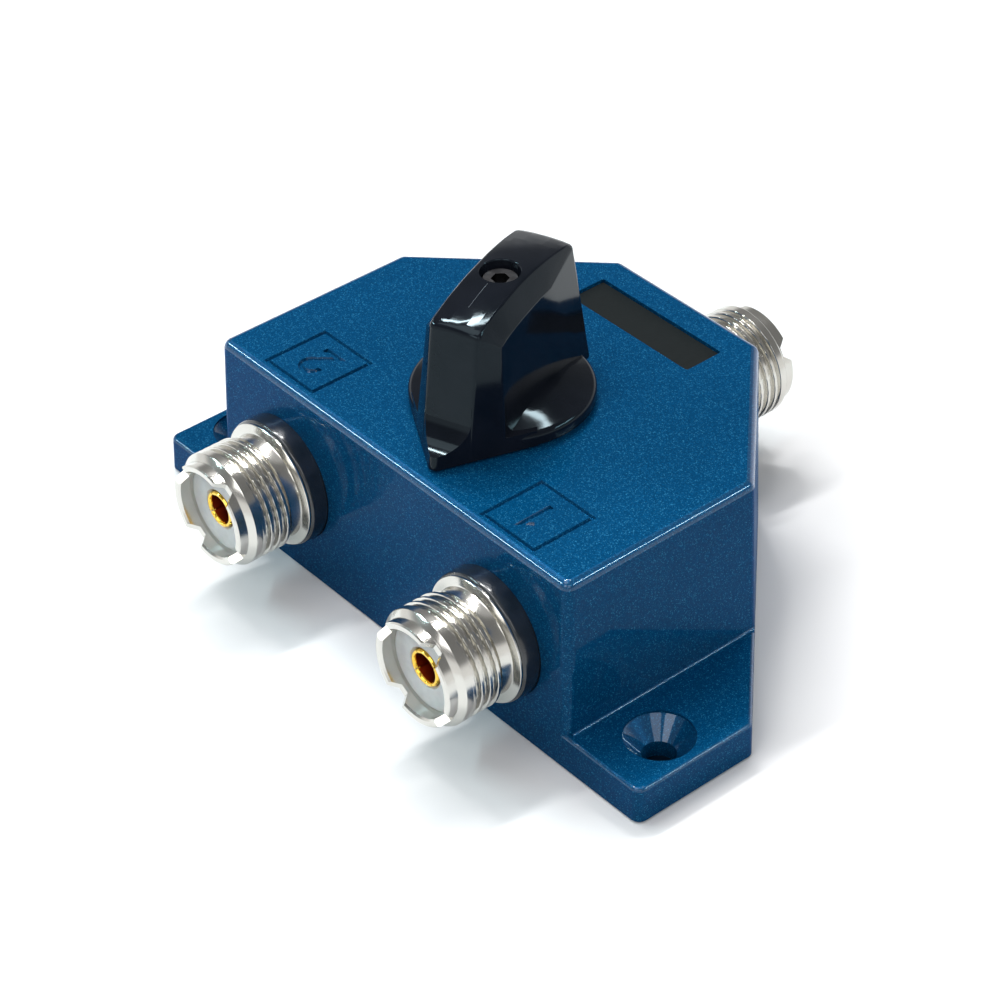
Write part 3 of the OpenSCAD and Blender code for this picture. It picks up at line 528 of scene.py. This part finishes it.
def marks():
    """Engraved square frames with a plain number in each, read from the back of the box."""
    one = [(-1.0, -1.4), (0.2, -2.45), (0.2, 2.45)]
    two = arc(0, -1.05, 1.45, 170, 385, 12) + [(-1.35, 2.35), (1.55, 2.35)]
    cutters = []
    around = ((-1, -1), (1, -1), (1, 1), (-1, 1))
    for cx, digit in ((MARK_X, one), (-MARK_X, two)):
        square = [(cx + sx * MARK_HALF, MARK_Y + sy * MARK_HALF) for sx, sy in around]
        cutters.append(groove(square, 0.30, 0.16, closed=True))
        cutters.append(groove([(cx - x, MARK_Y + y) for x, y in digit], 0.40, 0.22))
    return cutters


def ear_bm(side):
    """An ear with its countersunk hole and the fillet on the side wall. side is 1 for right, -1 for left."""
    plan = [(EAR_INNER_X, FRONT), (HALF_SPAN, FRONT), (HALF_SPAN, EAR_SIDE_Y),
            (EAR_BACK_X, SIDE_Y + HALF_W - EAR_BACK_X), (EAR_INNER_X, SIDE_Y - 0.6)]
    ear = cast_block(plan, [1, 1, 1, 0, 0], [0, EAR_R, EAR_R, 0, 0], EAR_T, EAR_TOP_R)
    hole = lathe([(EAR_HOLE_R, -OVER), (EAR_HOLE_R, 2.35), (4.45, 4.75), (EAR_SINK_R, 4.95),
                  (EAR_SINK_R, EAR_T + OVER)])
    ear = boolean(ear, moved(hole, Matrix.Translation((EAR_HOLE_X, EAR_HOLE_Y, 0))))
    ear = join(ear, ear_fillet())
    if side < 0:
        moved(ear, Matrix.Scale(-1, 4, (1, 0, 0)))
        bmesh.ops.reverse_faces(ear, faces=ear.faces)
    return ear


def ear_fillet():
    """Small concave fillet where an ear's top meets the side wall."""
    r, wall_x, sunk = EAR_FILLET_R, HALF_W - LEAN * EAR_T, 0.3
    profile = [(wall_x - sunk, EAR_T - sunk), (wall_x + r, EAR_T - sunk), (wall_x + r, EAR_T + 0.002)]
    profile += [(wall_x + r - r * math.sin(math.radians(a)), EAR_T + r - r * math.cos(math.radians(a)))
                for a in (15, 30, 45, 60, 75)]
    profile += [(wall_x - 0.012, EAR_T + r), (wall_x - sunk, EAR_T + r)]
    ends = (lambda x: FRONT + 1.0, lambda x: SIDE_Y - 0.2 + (HALF_W - x))
    return skinned([[(x, end(x), z) for x, z in profile] for end in ends])


def box_piece():
    ob = to_piece("cast_box", join(casting_bm(), ear_bm(1), ear_bm(-1)), 33)
    weight_normals(ob)
    dress(ob, "blue_paint", "housing")
    ob.data.materials.append(M["blue_edge"])
    for face in ob.data.polygons:
        on_round_edge = 0.12 < face.normal.z < 0.985
        if on_round_edge and face.center.z > 3 * MM:
            face.material_index = 1
    return ob


box_ob = box_piece()

# ---- Connectors, with heights along the axis from the wall's face outwards ----

SHANK_R, SHANK_END = 6.9, -8.6
PITCH, THREAD_LOW, THREAD_HIGH, CREST, ROOT = 1.3, 4.5, 9.35, 7.93, 7.28
# Steepness of the ridge's flanks and flatness of its crest, how far under the crest the first turn starts
# and over what length it rises, the length over which the last turn runs out, and rows of points
FLANK_STEEP, CREST_FLAT, START_DIP, START_L, RUN_OUT_L, THREAD_ROWS = 4.4, 0.62, 0.25, 0.3, 0.35, 112
BORE_R, STEP_R = 6.0, 4.6
NOTCH_Z, NOTCH_HALF, NOTCH_TURNS = 11.15, 0.62, (57, 147)
# The last is how far up the contact's bore the painted shade reaches.
CONTACT_R, TAIL_R, CONTACT_BORE_R, BORE_SHADE_TOP = 2.54, 1.5, 1.92, 10.0
SLIT_Z, SLIT_HALF, SLIT_TURNS = 9.95, 0.06, (35, 125)
RING_R, RING_T, RING_EDGE_R = 8.9, 2.1, 0.45


def clamp(x):
    """x, kept between 0 and 1."""
    return min(max(x, 0.0), 1.0)


def thread(r, z, a):
    """Radius on the threaded length: a helical ridge with flat crests and roots, faded at both ends."""
    if not THREAD_LOW < z < THREAD_HIGH:
        return r
    phase = ((z - THREAD_LOW) / PITCH - a / TAU) % 1.0
    lift = clamp(1 + CREST_FLAT - abs(phase - 0.5) * FLANK_STEEP)
    lift = lift * lift * (3 - 2 * lift)
    fade_in = clamp((z - THREAD_LOW - 0.05) / START_L)
    fade_out = clamp((THREAD_HIGH - z) / RUN_OUT_L)
    depth = (CREST - ROOT) * (1 - lift)
    return CREST - depth * fade_out - START_DIP * (1 - fade_in)


def cross_cut(bm, outline_points, turns, z, reach):
    """Cuts a slot of that outline across the axis at height z, once for each turn in degrees."""
    for turn in turns:
        place = (Matrix.Rotation(math.radians(turn), 4, "Z") @ Matrix.Translation((0, 0, z))
                 @ Matrix.Rotation(math.pi / 2, 4, "Z") @ Matrix.Rotation(math.pi / 2, 4, "X"))
        bm = boolean(bm, moved(prism(outline_points, -reach, reach), place))
    return bm


def shell_bm():
    """Coupling shell: shank, thin flange, neck, thread, and a rim with four notches."""
    flange = [(SHANK_R, SHANK_END), (SHANK_R, 2.1), (8.52, 2.1), (8.63, 2.18), (8.63, 2.38), (8.57, 2.46)]
    neck = [(7.55, 2.5), (7.35, 2.6), (7.25, 2.85), (7.25, 4.46), (7.6, 4.5)]
    threads = [(CREST, THREAD_LOW + (THREAD_HIGH - THREAD_LOW) * (k + 0.5) / THREAD_ROWS)
               for k in range(THREAD_ROWS)]
    rim = [(CREST, 9.4), (CREST, 10.3), (7.85, 10.42), (7.2, 10.95), (7.1, 11.05), (7.1, 12.32),
           (6.92, 12.5), (6.25, 12.5)]
    inside = [(BORE_R, 12.25), (BORE_R, 0.0), (STEP_R, 0.0), (STEP_R, SHANK_END)]
    bm = lathe(flange + neck + threads + rim + inside, 160, looped=True, radius=thread)
    w, spread, depth = NOTCH_HALF, 1.9, 2.3
    notch = [(-w, 0), (w, 0), (w + spread, depth), (-w - spread, depth)]
    return cross_cut(bm, notch, NOTCH_TURNS, NOTCH_Z, 9)


def insulator_bm():
    """Pale disc around the contact with a stem through the wall, a hair clear of the shell."""
    r, stem_r, hair = BORE_R - 0.03, STEP_R - 0.03, 0.05
    bore_r, tail_bore_r = CONTACT_R + 0.08, TAIL_R + 0.03
    disc = [(bore_r, 10.05), (2.9, 10.38), (3.05, 10.4), (5.55, 10.4), (5.7, 10.3), (r, 10.25), (r, hair)]
    stem = [(stem_r, hair), (stem_r, SHANK_END), (tail_bore_r, SHANK_END), (tail_bore_r, 0.0), (bore_r, 0.0)]
    return lathe(disc + stem, looped=True)


def contact_bm():
    """Gilt socket with a slit rim, on its thin tail. The profile ends a hair short of the axis."""
    axis, tail_end = 0.0005, -13.0
    bm = lathe([(axis, tail_end), (TAIL_R, tail_end), (TAIL_R, 0.05), (CONTACT_R, 0.05), (CONTACT_R, 10.35),
                (2.42, 10.52), (2.3, 10.55), (2.1, 10.5), (CONTACT_BORE_R, 10.2), (CONTACT_BORE_R, 1.4),
                (axis, 1.4)], 72)
    slit = [(-SLIT_HALF, 0), (SLIT_HALF, 0), (SLIT_HALF, 9), (-SLIT_HALF, 9)]
    return cross_cut(bm, slit, SLIT_TURNS, SLIT_Z, 4)


def ring_bm():
    """Black ring in its pocket in the wall, with a rounded outer edge."""
    edge = arc(RING_R - RING_EDGE_R, RING_T - RING_EDGE_R, RING_EDGE_R, 0, 90, 6)
    profile = [(SHANK_HOLE_R, -RING_SEAT), (RING_R, -RING_SEAT)] + edge + [(SHANK_HOLE_R, RING_T)]
    return lathe(profile, 128, looped=True)


def paint_bore_shade(ob, centre):
    """Paints shade into the inside of the contact's bore: a darker gold on its faces stands for the shade
    there.
    """
    ob.data.materials.append(M["gold_painted_shade"])
    for face in ob.data.polygons:
        c = face.center - centre
        in_bore = math.hypot(c.x, c.z) < (CONTACT_BORE_R + 0.03) * MM and abs(c.y) < BORE_SHADE_TOP * MM
        if in_bore and face.normal.dot(Vector((c.x, 0, c.z))) <= 0:
            face.material_index = 1


# Each part's name, material slot, maker and shading angle
CONNECTOR = (("shell", "nickel_plate", shell_bm, 28), ("insulator", "grey_plastic", insulator_bm, 30),
             ("contact", "gold_plate", contact_bm, 35), ("ring", "ring_black", ring_bm, 40))
for i, port in enumerate(("port_1", "port_2", "common")):
    for part, slot, make, angle in CONNECTOR:
        node = port + "_" + part
        ob = to_piece(node + "_look", moved(make(), port_matrix(i)), angle)
        dress(ob, slot, node)
        if part == "contact":
            paint_bore_shade(ob, Vector(port_matrix(i).translation) * MM)

# ---- Knob, drawn with its pointer along +X and then turned by POINTER ----

KNOB_Z, CROWN = BODY_H + 0.4, BODY_H + 19.2
POINTER = Matrix.Translation((0, AXIS_Y, 0)) @ Matrix.Rotation(THROW - math.pi / 2, 4, "Z")
# The grip's rear and front, where its top's arch ends and how far it drops there
GRIP_REAR, GRIP_FRONT, GRIP_BACK, CROWN_DROP = -11.9, 11.75, -11.7, 1.5
# The slightly bulged rear: its foot at the sides, its foot in the middle, its top in the middle
REAR_FOOT, REAR_BULGE, REAR_TOP = -12.05, -12.4, -12.15
# Half width of the top, what the rear adds to it, how far its edges lie under the arch, and how far
# its middle stands above them
GRIP_HALF_W, REAR_FLARE, GRIP_SINK, TOP_RISE = 3.35, 0.45, 0.16, 0.22
FRONT_LEAN, WALL_LEAN = math.tan(math.radians(9.8)), math.tan(math.radians(6.8))
# The beak's tip, the circle that its walls touch, and the lean and edge radius of the beak
TIP_X, TIP_R, WALL_R, BEAK_LEAN, BEAK_EDGE_R = 17.2, 1.0, 12.0, 1.12 * WALL_LEAN, 0.75
WALL_TURN = math.acos((WALL_R - TIP_R) / TIP_X)
# Half width and lean of the flanks, their ends along x, and the height of the bevel above them
FLANK_HALF_W, FLANK_LEAN, FLANK_BACK, FLANK_FRONT, BEVEL_H = 5.2, 0.078, -3.6, 9.5, 2.95
SKIRT_R, SKIRT_T, SKIRT_ROUND, SKIRT_HOLLOW_R = 12.05, 1.6, 0.9, 9.65
SHAFT_BORE_R, SHAFT_BORE_TOP = 3.05, BODY_H + 12.25
SCREW_HOLE_R, SCREW_SEAT, SCREW_WELL_R = 1.35, BODY_H + 15.6, 2.55
LINE_START, LINE_LENGTH, LINE_HALF_W, LINE_H = 3.2, 4.9, 0.07, 0.045


def crown(x):
    """Height of the grip's arched top."""
    radius = (GRIP_BACK ** 2 + CROWN_DROP ** 2) / (2 * CROWN_DROP)
    return CROWN - radius + math.sqrt(radius * radius - x * x)


def front(z):
    return GRIP_FRONT + (crown(GRIP_FRONT) - z) * FRONT_LEAN


def flank(z):
    return FLANK_HALF_W + (CROWN - BEVEL_H - z) * FLANK_LEAN


def wall(y, z):
    """How far along the pointer a beak wall is at half width y and height z."""
    return (WALL_R - (z - KNOB_Z) * WALL_LEAN - y * math.sin(WALL_TURN)) / math.cos(WALL_TURN)


def ball(bm, centre, r, rows=8, steps=16):
    """Adds the points of a small ball, for a hull with round edges."""
    for i in range(rows + 1):
        a = math.pi * i / rows
        for k in range(steps if 0 < i < rows else 1):
            b = TAU * k / steps
            bm.verts.new((centre[0] + r * math.sin(a) * math.cos(b),
                          centre[1] + r * math.sin(a) * math.sin(b), centre[2] + r * math.cos(a)))


def hull(bm):
    result = bmesh.ops.convex_hull(bm, input=bm.verts)
    inside = [v for v in result["geom_interior"] if isinstance(v, bmesh.types.BMVert)]
    bmesh.ops.delete(bm, geom=inside, context="VERTS")
    loose = [v for v in bm.verts if not v.link_faces]
    bmesh.ops.delete(bm, geom=loose, context="VERTS")
    return bm


def grip_bm():
    """Straight-sided grip: crowned top, bevelled flanks, leaning front, slightly bulged rear, round edges.
    A corner is its place, the radius of its ball, and how far along x, y and z the ball sits inside it."""
    low = KNOB_Z + 0.6
    corners = []
    for k in range(21):
        x = GRIP_REAR + (GRIP_FRONT - GRIP_REAR) * k / 20
        w = GRIP_HALF_W + REAR_FLARE * max(0.0, x / GRIP_REAR)
        z = crown(max(x, GRIP_BACK)) - GRIP_SINK
        r, inset = (0.8, 0.84) if k in (0, 20) else (0.45, 0.0)
        corners += [(x, side * w, z, r, inset, 0.5, 1.0) for side in (1, -1)]
        corners += [(x, share * w, z + TOP_RISE * (1 - share * share), r, inset, 0.0, 1.0)
                    for share in (-0.7, -0.35, 0, 0.35, 0.7)]
    for side in (1, -1):
        for k in range(11):
            x = FLANK_BACK + (FLANK_FRONT - FLANK_BACK) * k / 10
            z = crown(x) - BEVEL_H
            corners.append((x, side * flank(z), z, 0.6, 0.37 if k == 10 else 0.0, 0.97, 0.37))
        corners += [(wall(flank(low), low), side * flank(low), low, 0.6, 0.37, 1.0, 0.0),
                    (front(low), side * GRIP_HALF_W, low, 0.6, 1.0, 0.46, 0.0),
                    (REAR_FOOT, side * flank(low), low, 0.5, 1.0, 1.0, 0.0)]
    corners += [(REAR_BULGE, 0, low, 0.5, 1.0, 0.0, 0.0),
                (REAR_TOP, 0, crown(GRIP_BACK) - GRIP_SINK, 0.8, 0.84, 0.0, 1.0)]
    bm = bmesh.new()
    for x, y, z, r, in_x, in_y, in_z in corners:
        ball(bm, (x - math.copysign(r * in_x, x), y - math.copysign(r * in_y, y), z - r * in_z), r)
    return hull(bm)


def skirt_bm():
    """Round skirt with a rolled rim, a low dome and a hollow underside."""
    rim = arc(SKIRT_R - SKIRT_ROUND, 1.1, SKIRT_ROUND, 0, 75, 5)
    dome = [(10.4, 2.25), (8.8, 2.8), (7.4, 3.1), (6.4, 3.2)]
    inner_r = SHAFT_BORE_R + 0.01
    hollow = [(inner_r, 3.2), (inner_r, SKIRT_T), (SKIRT_HOLLOW_R, SKIRT_T)]
    profile = [(SKIRT_HOLLOW_R, 0), (11.85, 0), (SKIRT_R, 0.2)] + rim + dome + hollow
    return lathe([(r, KNOB_Z + z) for r, z in profile], 160, looped=True)


def beak_bm():
    """Pointer between two leaning walls, hollowed by a scoop where it meets the grip's front."""
    scoop_r, scoop_low, high = 4.4, KNOB_Z + 1.8, KNOB_Z + 7.2
    inside, far, side = 1.0, 22, 14
    rings = []
    for z in (KNOB_Z, high):
        shrink = (z - KNOB_Z) * BEAK_LEAN
        tip = [(TIP_X + x, y) for x, y in arc(0, 0, TIP_R - shrink, 0, math.degrees(WALL_TURN), 8)]
        foot = ((WALL_R - shrink) * math.cos(WALL_TURN), (WALL_R - shrink) * math.sin(WALL_TURN))
        plan = tip + [foot, (2 * inside, foot[1] * 0.7)]
        plan += [(x, -y) for x, y in reversed(plan)][:-1]
        rings.append([(x, y, z) for x, y in plan])
    bm = skinned(rings)
    low_w, high_w = flank(KNOB_Z) - 0.1, flank(high + OVER) - 0.1
    across = [(-low_w, KNOB_Z - OVER), (low_w, KNOB_Z - OVER), (high_w, high + OVER), (-high_w, high + OVER)]
    between = skinned([[(x, y, z) for y, z in across] for x in (inside, far)])
    slab = prism([(inside, -side), (far, -side), (far, side), (inside, side)], KNOB_Z - OVER, scoop_low + 0.3)
    bm = boolean(bm, boolean(between, slab, "UNION"), "INTERSECT")
    line = arc(front(scoop_low + scoop_r) + scoop_r, scoop_low + scoop_r, scoop_r, 180, 268, 16)
    line += [(far + 2, line[-1][1]), (far + 2, high + 2), (front(high + 2) - 0.02, high + 2)]
    bm = boolean(bm, skinned([[(x, y, z) for x, z in line] for y in (-side, side)]))
    bmesh.ops.dissolve_limit(bm, angle_limit=math.radians(1.0), verts=bm.verts, edges=bm.edges)
    edges = [e for e in bm.edges if len(e.link_faces) == 2 and e.calc_face_angle(0) > math.radians(35)
             and all(v.co.z > KNOB_Z + 0.1 and v.co.x > 6.0 for v in e.verts)]
    bmesh.ops.bevel(bm, geom=edges, offset=BEAK_EDGE_R, offset_type="OFFSET", segments=6, profile=0.5,
                    affect="EDGES", clamp_overlap=True)
    return bm


def mould_line_bm():
    """Fine raised line that the mould left on the crown, ahead of the screw."""
    rings = []
    for k in range(9):
        x = LINE_START + LINE_LENGTH * k / 8
        surface = crown(x) - GRIP_SINK + TOP_RISE
        root = surface - 0.06
        rings.append([(x, -LINE_HALF_W, root), (x, LINE_HALF_W, root), (x, 0, surface + LINE_H)])
    return skinned(rings)


def knob_piece():
    """The knob: grip, skirt and beak, with the screw's well from above and the shaft's bore from below."""
    well = lathe([(SCREW_HOLE_R, BODY_H + 12), (SCREW_HOLE_R, SCREW_SEAT), (SCREW_WELL_R, SCREW_SEAT),
                  (SCREW_WELL_R, CROWN - 0.3), (2.62, CROWN - 0.12), (2.78, CROWN + 0.02),
                  (2.78, CROWN + 2)], 72)
    bore = lathe([(SHAFT_BORE_R, KNOB_Z - OVER), (SHAFT_BORE_R, SHAFT_BORE_TOP)], 48)
    grip = boolean(boolean(grip_bm(), well), bore)
    knob = join(grip, skirt_bm(), beak_bm(), mould_line_bm())
    ob = to_piece("knob_look", moved(knob, POINTER), 38, "rotor")
    weight_normals(ob)
    dress(ob, "black_plastic", "knob")
    # Second slot: the mould line, whose grey is painted highlight.
    ob.data.materials.append(M["mould_line"])
    back, near = POINTER.inverted(), 0.1
    for face in ob.data.polygons:
        c = back @ (face.center / MM)
        along = LINE_START - near < c.x < LINE_START + LINE_LENGTH + near
        if along and abs(c.y) < LINE_HALF_W + 0.01 and c.z > crown(c.x) - near:
            face.material_index = 1
    return ob


knob_ob = knob_piece()

# ---- Floor, light and camera, in metres where not said otherwise ----

def staged(name, bm, z):
    """A stage object at height z in mm; it isn't part of the switch."""
    ob = new_object(name, bm)
    ob.location.z = z * MM
    return ob


def most_of(owner, path, names):
    """A node and its output: one for the rays of these names, and nought for the rest."""
    last, out = path, names[0]
    for name in names[1:]:
        most = add(owner, "ShaderNodeMath", operation="MAXIMUM")
        link(owner, last, out, most, 0)
        link(owner, path, name, most, 1)
        last, out = most, 0
    return last, out


def pale_floor():
    """Keeps the shadow near the object, turns plain white further out, and throws less light
    back at the walls than the eye sees on it."""
    mat = bpy.data.materials.new("pale_floor")
    mat.use_nodes = True
    mat.node_tree.nodes.clear()
    seen, bounce = (add(mat, "ShaderNodeBsdfDiffuse", Color=(v, v, v, 1)) for v in (0.86, 0.36))
    far = add(mat, "ShaderNodeEmission", Color=(1, 1, 1, 1), Strength=1.0)
    length = add(mat, "ShaderNodeVectorMath", operation="LENGTH")
    link(mat, add(mat, "ShaderNodeTexCoord"), "Object", length, "Vector")
    reach = add(mat, "ShaderNodeMapRange", interpolation_type="SMOOTHSTEP", From_Min=0.16, From_Max=0.42)
    link(mat, length, "Value", reach, "Value")
    looks = mix_shader(mat, reach, "Result", seen, far)
    path = add(mat, "ShaderNodeLightPath")
    rays = most_of(mat, path, ("Is Camera Ray", "Is Glossy Ray", "Is Transmission Ray"))
    link(mat, mix_shader(mat, *rays, bounce, looks), 0, add(mat, "ShaderNodeOutputMaterial"), 0)
    return mat


def stage():
    """The floor, and a dark disc on it under each ear's hole: painted shade, seen through the hole where the
    floor would show lit.
    """
    bm = bmesh.new()
    bmesh.ops.create_grid(bm, x_segments=2, y_segments=2, size=3.0)
    staged("floor", bm, -0.05).data.materials.append(pale_floor())
    dark = bpy.data.materials.new("hole_shade")
    dark.use_nodes = True
    principled(dark).inputs["Base Color"].default_value = (0.003, 0.010, 0.022, 1)
    principled(dark).inputs["Specular IOR Level"].default_value = 0.05
    for side in (1, -1):
        bm = bmesh.new()
        bmesh.ops.create_circle(bm, cap_ends=True, segments=32, radius=EAR_HOLE_R + 0.8)
        bmesh.ops.translate(bm, vec=(side * EAR_HOLE_X, EAR_HOLE_Y, 0), verts=bm.verts)
        staged("hole_shade", to_metres(bm), -0.02).data.materials.append(dark)


def world():
    """White to the camera. Reflections see a white sweep low down and a darker room above it."""
    w = bpy.data.worlds.new("studio")
    bpy.context.scene.world = w
    w.use_nodes = True
    w.node_tree.nodes.clear()
    soft = add(w, "ShaderNodeBackground", Color=(0.93, 0.96, 1.0, 1), Strength=0.36)
    room, white = (add(w, "ShaderNodeBackground", Color=(1, 1, 1, 1), Strength=1.0) for _ in range(2))
    sep = add(w, "ShaderNodeSeparateXYZ")
    link(w, add(w, "ShaderNodeTexCoord"), "Generated", sep, 0)
    sweep = [(0.0, 0.95), (0.20, 0.95), (0.34, 0.24), (0.90, 0.20), (0.96, 0.5), (1.0, 0.5)]
    link(w, ramp(w, sep, "Z", [(height, (v, v, v)) for height, v in sweep]), "Color", room, "Color")
    path = add(w, "ShaderNodeLightPath")
    unseen = mix_shader(w, path, "Is Glossy Ray", soft, room)
    rays = most_of(w, path, ("Is Camera Ray", "Is Transmission Ray"))
    link(w, mix_shader(w, *rays, unseen, white), 0, add(w, "ShaderNodeOutputWorld"), 0)


def lamp(name, place, size, power, size_y=None):
    """Area lamp that looks at the box; with size_y it is a narrow strip."""
    data = bpy.data.lights.new(name, "AREA")
    data.energy = power
    data.size = size
    if size_y:
        data.shape = "RECTANGLE"
        data.size_y = size_y
    ob = bpy.data.objects.new(name, data)
    bpy.context.scene.collection.objects.link(ob)
    ob.location = place
    ob.rotation_euler = (Vector((0, 0, 0.01)) - Vector(place)).to_track_quat("-Z", "Y").to_euler()
    return ob


def lamps():
    """Two key strips, three soft lamps, and two bluish strips for the bright edges of box and knob."""
    lamp("key_front", (-0.356, 0.06, 0.71), 0.34, 3.2, 0.035)
    lamp("key_back", (-0.22, 0.26, 0.74), 0.30, 1.7, 0.04)
    lamp("top", (-0.15, -0.25, 0.85), 0.45, 1.6)
    lamp("front", (0.15, -0.52, 0.46), 0.30, 0.8)
    lamp("by_camera", (0.45, -0.25, 0.42), 0.30, 0.5)
    edge_left = lamp("edge_left", (-0.45, -0.33, 0.42), 0.30, 1.35, 0.02)
    edge_right = lamp("edge_right", (0.45, 0.38, 0.45), 0.30, 1.35, 0.02)
    for edge in (edge_left, edge_right):
        edge.data.color = (0.66, 0.93, 1.0)
    box_and_knob = bpy.data.collections.new("box_and_knob")
    for ob in (box_ob, knob_ob):
        box_and_knob.objects.link(ob)
    edge_right.light_linking.receiver_collection = box_and_knob


def camera():
    """The photo's camera, turned by azimuth, elevation and roll. Its place is measured from the middle
    of the box's front edge, in mm along its own right, up and back."""
    focal_px, frame_px, sensor = 3188.37, 1001, 36.0
    az, el, roll = (math.radians(v) for v in (50.42, 37.72, -1.27))
    off_right, off_up, off_back = 14.61, 17.28, 413.67
    cam = bpy.data.cameras.new("camera")
    cam.sensor_fit = "HORIZONTAL"
    cam.sensor_width = sensor
    cam.lens = focal_px / frame_px * sensor
    cam.clip_start, cam.clip_end = 0.01, 20
    ob = bpy.data.objects.new("camera", cam)
    bpy.context.scene.collection.objects.link(ob)
    back = Vector((math.sin(az) * math.cos(el), -math.cos(az) * math.cos(el), math.sin(el)))
    level = Vector((0, 0, 1)).cross(back).normalized()
    upright = back.cross(level)
    right = level * math.cos(roll) + upright * math.sin(roll)
    up = -level * math.sin(roll) + upright * math.cos(roll)
    place = right * off_right + up * off_up + back * off_back
    place.y += FRONT
    m = Matrix((right, up, back)).transposed().to_4x4()
    m.translation = place * MM
    ob.matrix_world = m
    bpy.context.scene.camera = ob


stage()
world()
lamps()
camera()
bpy.context.scene.view_settings.view_transform = "Standard"
